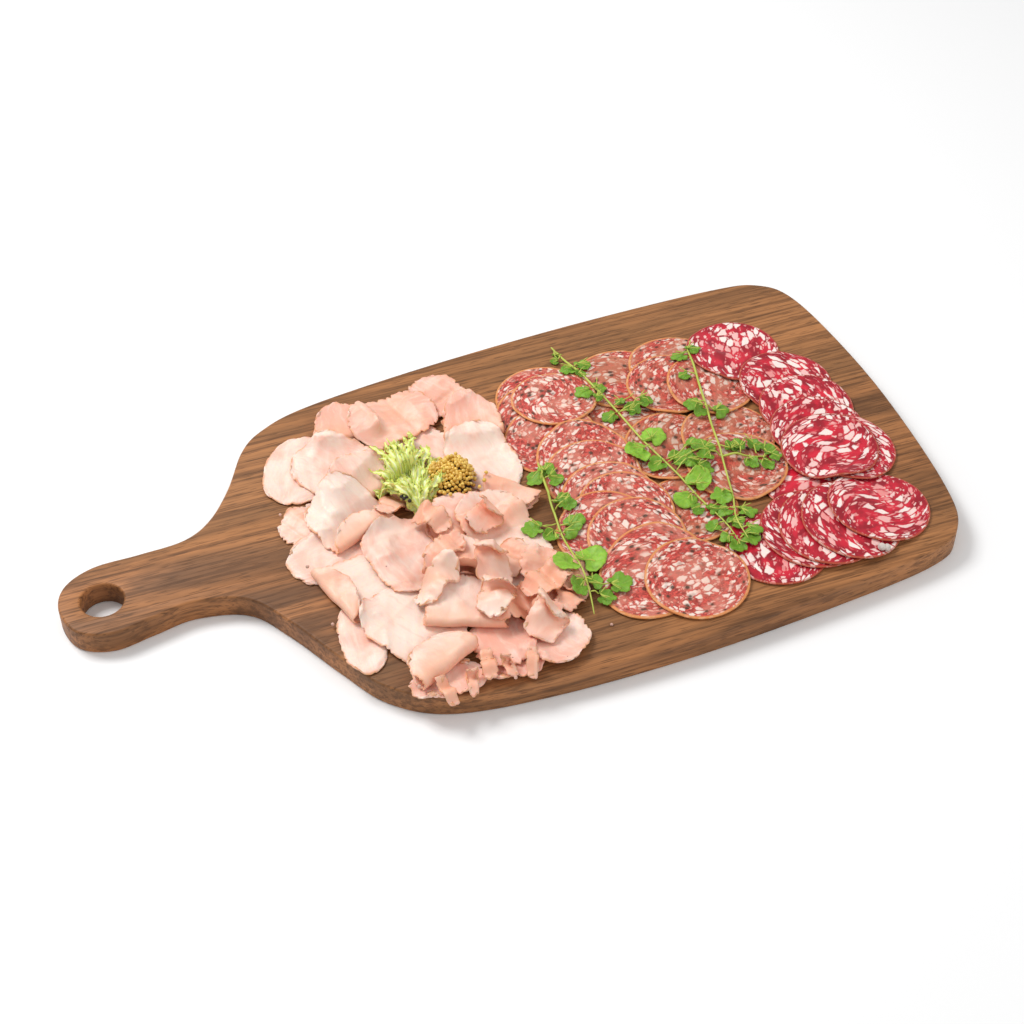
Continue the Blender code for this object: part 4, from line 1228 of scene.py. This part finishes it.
class AddSalami(bpy.types.Operator):
    """Lay the slices of peppered and red salami"""
    bl_idname = "board_scene.add_salami"
    bl_label = "Salami"

    def execute(self, context):
        finishes = {"peppered": peppered_salami_finish(), "red": red_salami_finish()}
        for number, (kind, x, y, radius) in enumerate(UNDER_SLICES):
            oval = np.array((x, y), float), radius, radius - 1.0, 0.0
            salami_slice(UNDER_FROM + number, f"{kind}_slice_under_{number + 1:02d}", oval,
                         finishes[kind], 1.0)
        number = 0
        for row, count, crust in SALAMI_ROWS:
            kind, group = row.split("_")
            for place in range(1, count + 1):
                number += 1
                node = f"{row}_{place:02d}"
                salami_slice(number, f"{kind}_slice_{group}_{place:02d}", slice_outline(node),
                             finishes[kind],
                             crust * (1.0 - 0.5 * place / count), [node])
        return {'FINISHED'}


class AddHam(bpy.types.Operator):
    """Drape the slices of ham"""
    bl_idname = "board_scene.add_ham"
    bl_label = "Ham"

    def execute(self, context):
        finish = ham_finish()
        for number, (name, centre, *shape) in enumerate(HAM_SHEETS):
            ham_sheet(number, f"ham_sheet_{name}", centre, *shape, finish, [f"ham_{name}"])
        for number, (centre, turn, length, width, pink) in enumerate(HAM_SCRAPS):
            folds = SCRAP_FOLDS[number % len(SCRAP_FOLDS)]
            ham_sheet(SCRAPS_FROM + number, f"ham_scrap_{number + 1:02d}", centre, turn, length,
                      width, folds, SCRAP_WAVE, SCRAP_RAGGED, pink, finish)
        return {'FINISHED'}


class AddFrisee(bpy.types.Operator):
    """Heap the curly leaf beside the mustard seeds"""
    bl_idname = "board_scene.add_frisee"
    bl_label = "Curly leaf"

    def execute(self, context):
        draw = np.random.default_rng(FRISEE_DRAW)
        centre, radii, high, turn = FRISEE
        base = PILE.height.copy()
        radii = np.array(radii)
        strands = [core_parts(centre, radii * FRISEE_CORE_WIDTH, high * FRISEE_CORE_HEIGHT,
                              turn, base)]
        stalk = turned(np.array(FRISEE_STALK), turn, centre)
        for number in range(FRISEE_STRANDS):
            angle = math.radians(draw.uniform(*FRISEE_SPREAD))
            reach = draw.uniform(0.72, 1.12) if number % 3 else draw.uniform(0.3, 0.7)
            tip = radii * reach * np.array((math.cos(angle), math.sin(angle)))
            tip = turned(tip * FRISEE_OVERHANG, turn, centre)
            share = draw.uniform(0.0, 0.6) if number % 2 else 0.0
            start = stalk + (tip - stalk) * share
            start = start + draw.uniform(-STRAND_START, STRAND_START, 2)
            length = max(np.linalg.norm(tip - start), 1.0)
            tip = start + (tip - start) * max(1.0, STRAND_SHORTEST / length)
            strands.append(strand_parts(draw, start, tip, draw.uniform(*STRAND_LIFT) * high,
                                        draw.uniform(*STRAND_WIDTH), base))
        make_piece("curly_leaf", frisee_finish(), joined(strands), ["frisee"])
        mound = mound_field(centre, radii, high * FRISEE_MOUND, turn)
        PILE.height = np.maximum(PILE.height, base + mound)
        return {'FINISHED'}


class AddMustard(bpy.types.Operator):
    """Heap the mustard seeds over a core painted near black as the shade between the seeds"""
    bl_idname = "board_scene.add_mustard"
    bl_label = "Mustard seeds"

    def execute(self, context):
        draw = np.random.default_rng(MUSTARD_DRAW)
        centre, radii, high, turn = MUSTARD
        size = settings().seed_size / MM
        base = PILE.height.copy()
        core = core_parts(centre, np.array(radii) - size, high - size, turn, base)
        # Painted shade: the core is near black so that the gaps between the seeds look shaded.
        dark = dark_finish("mustard_painted_shade", (0.05, 0.022, 0.005))
        make_piece("mustard_shade_core", dark, (core[0], core[1], {}))
        count = SEEDS_IN_LAYER
        share = np.sqrt((np.arange(count) + 0.5) / count)
        around = np.arange(count) * GOLDEN_ANGLE
        outer = turned(oval_places(radii, share, around), turn, centre)
        top = (high - size) * (1.0 - share ** 3) ** 0.7
        layer = np.column_stack([outer, PILE.read(base, outer) + top + 0.5 * size])
        layer += draw.normal(0.0, SEED_SHIFT, layer.shape)
        extra = layer[draw.choice(count, SEEDS_ON_TOP, replace=False)]
        extra = extra + draw.uniform(-TOP_SEED_SHIFT, TOP_SEED_SHIFT, (SEEDS_ON_TOP, 3))
        extra[:, 2] += 0.55 * size
        stray = np.array(STRAY_SEEDS, float)
        stray = np.column_stack([stray, PILE.top_at(stray, 1) + 0.5 * size])
        seeds = joined(seed_parts(draw, np.concatenate([layer, extra, stray]), size))
        make_piece("mustard_seeds_heap", mustard_finish(), seeds, ["mustard_seeds"])
        return {'FINISHED'}


class AddHerbs(bpy.types.Operator):
    """Lay the sprigs of herb over the slices"""
    bl_idname = "board_scene.add_herbs"
    bl_label = "Herbs"

    def execute(self, context):
        leaf, stem = herb_finish(), stem_finish()
        for number, (name, points, leaves) in enumerate(SPRIGS):
            draw = np.random.default_rng(HERB_DRAW + number)
            stalks, blades = sprig_parts(draw, points, leaves)
            make_piece(f"{name}_stems", stem, joined(stalks))
            make_piece(f"{name}_leaves", leaf, joined(blades))
        return {'FINISHED'}


class AddCrumbs(bpy.types.Operator):
    """Scatter bits of pepper, fat and ham"""
    bl_idname = "board_scene.add_crumbs"
    bl_label = "Crumbs"

    def execute(self, context):
        draw = np.random.default_rng(CRUMB_DRAW)
        for name, colour, slot, size, spots in CRUMBS:
            place = np.array(spots, float)
            place = np.column_stack([place, PILE.top_at(place, 1) + 0.3 * size])
            crumbs = joined(seed_parts(draw, place, size))
            make_piece(name, dark_finish(name, colour), crumbs)
        return {'FINISHED'}


class AddStage(bpy.types.Operator):
    """Set the floor, the lights and the camera"""
    bl_idname = "board_scene.add_stage"
    bl_label = "Stage"

    def execute(self, context):
        scene = context.scene
        mesh = bpy.data.meshes.new("floor")
        corners = [(x * FLOOR_HALF, y * FLOOR_HALF, 0.0)
                   for x, y in ((-1, -1), (1, -1), (1, 1), (-1, 1))]
        mesh.from_pydata(corners, [], [(0, 1, 2, 3)])
        mesh.materials.append(Finish("floor_white", Base_Color=(0.93, 0.93, 0.93, 1.0),
                                     Roughness=0.8).material)
        floor = bpy.data.objects.new("floor", mesh)
        scene.collection.objects.link(floor)
        world = bpy.data.worlds.new("studio")
        world.use_nodes = True
        sky = world.node_tree.nodes["Background"].inputs
        sky["Color"].default_value = (1.0, 1.0, 1.0, 1.0)
        sky["Strength"].default_value = WORLD_STRENGTH
        scene.world = world
        scene.view_settings.view_transform = 'Standard'
        for name, place, size, power in LIGHTS:
            light = bpy.data.lights.new(name, 'AREA')
            light.size = size
            light.energy = power
            lamp = bpy.data.objects.new(name, light)
            lamp.location = place
            lamp.rotation_euler = (-lamp.location).to_track_quat('-Z', 'Y').to_euler()
            scene.collection.objects.link(lamp)
        camera = bpy.data.cameras.new("camera")
        camera.lens = CAMERA_LENS
        camera.clip_start = 0.01
        viewer = bpy.data.objects.new("camera", camera)
        back = mathutils.Vector((math.sin(CAMERA_AZIMUTH) * math.cos(CAMERA_ELEVATION),
                                 -math.cos(CAMERA_AZIMUTH) * math.cos(CAMERA_ELEVATION),
                                 math.sin(CAMERA_ELEVATION)))
        right = mathutils.Vector((0.0, 0.0, 1.0)).cross(back).normalized()
        turn = mathutils.Matrix((right, back.cross(right), back)).transposed().to_4x4()
        viewer.matrix_world = mathutils.Matrix.Translation(CAMERA_PLACE) @ turn
        scene.collection.objects.link(viewer)
        scene.camera = viewer
        return {'FINISHED'}


OPERATORS = (AddBoard, AddSalami, AddHam, AddFrisee, AddMustard, AddHerbs, AddCrumbs, AddStage)


class BoardPanel(bpy.types.Panel):
    """The board's sizes, colours and pieces"""
    bl_idname = "VIEW3D_PT_board_scene"
    bl_label = "Charcuterie board"
    bl_space_type = 'VIEW_3D'
    bl_region_type = 'UI'
    bl_category = "Board"

    def draw(self, context):
        column = self.layout.column()
        for name in BoardSettings.__annotations__:
            column.prop(context.scene.board_settings, name)
        for operator in OPERATORS:
            column.operator(operator.bl_idname)


CLASSES = (BoardSettings, *OPERATORS, BoardPanel)


def register():
    for each in CLASSES:
        bpy.utils.register_class(each)
    bpy.types.Scene.board_settings = bpy.props.PointerProperty(type=BoardSettings)


def unregister():
    del bpy.types.Scene.board_settings
    for each in reversed(CLASSES):
        bpy.utils.unregister_class(each)


def main():
    register()
    for operator in OPERATORS:
        group, name = operator.bl_idname.split(".")
        getattr(getattr(bpy.ops, group), name)()


if __name__ == "__main__":
    main()
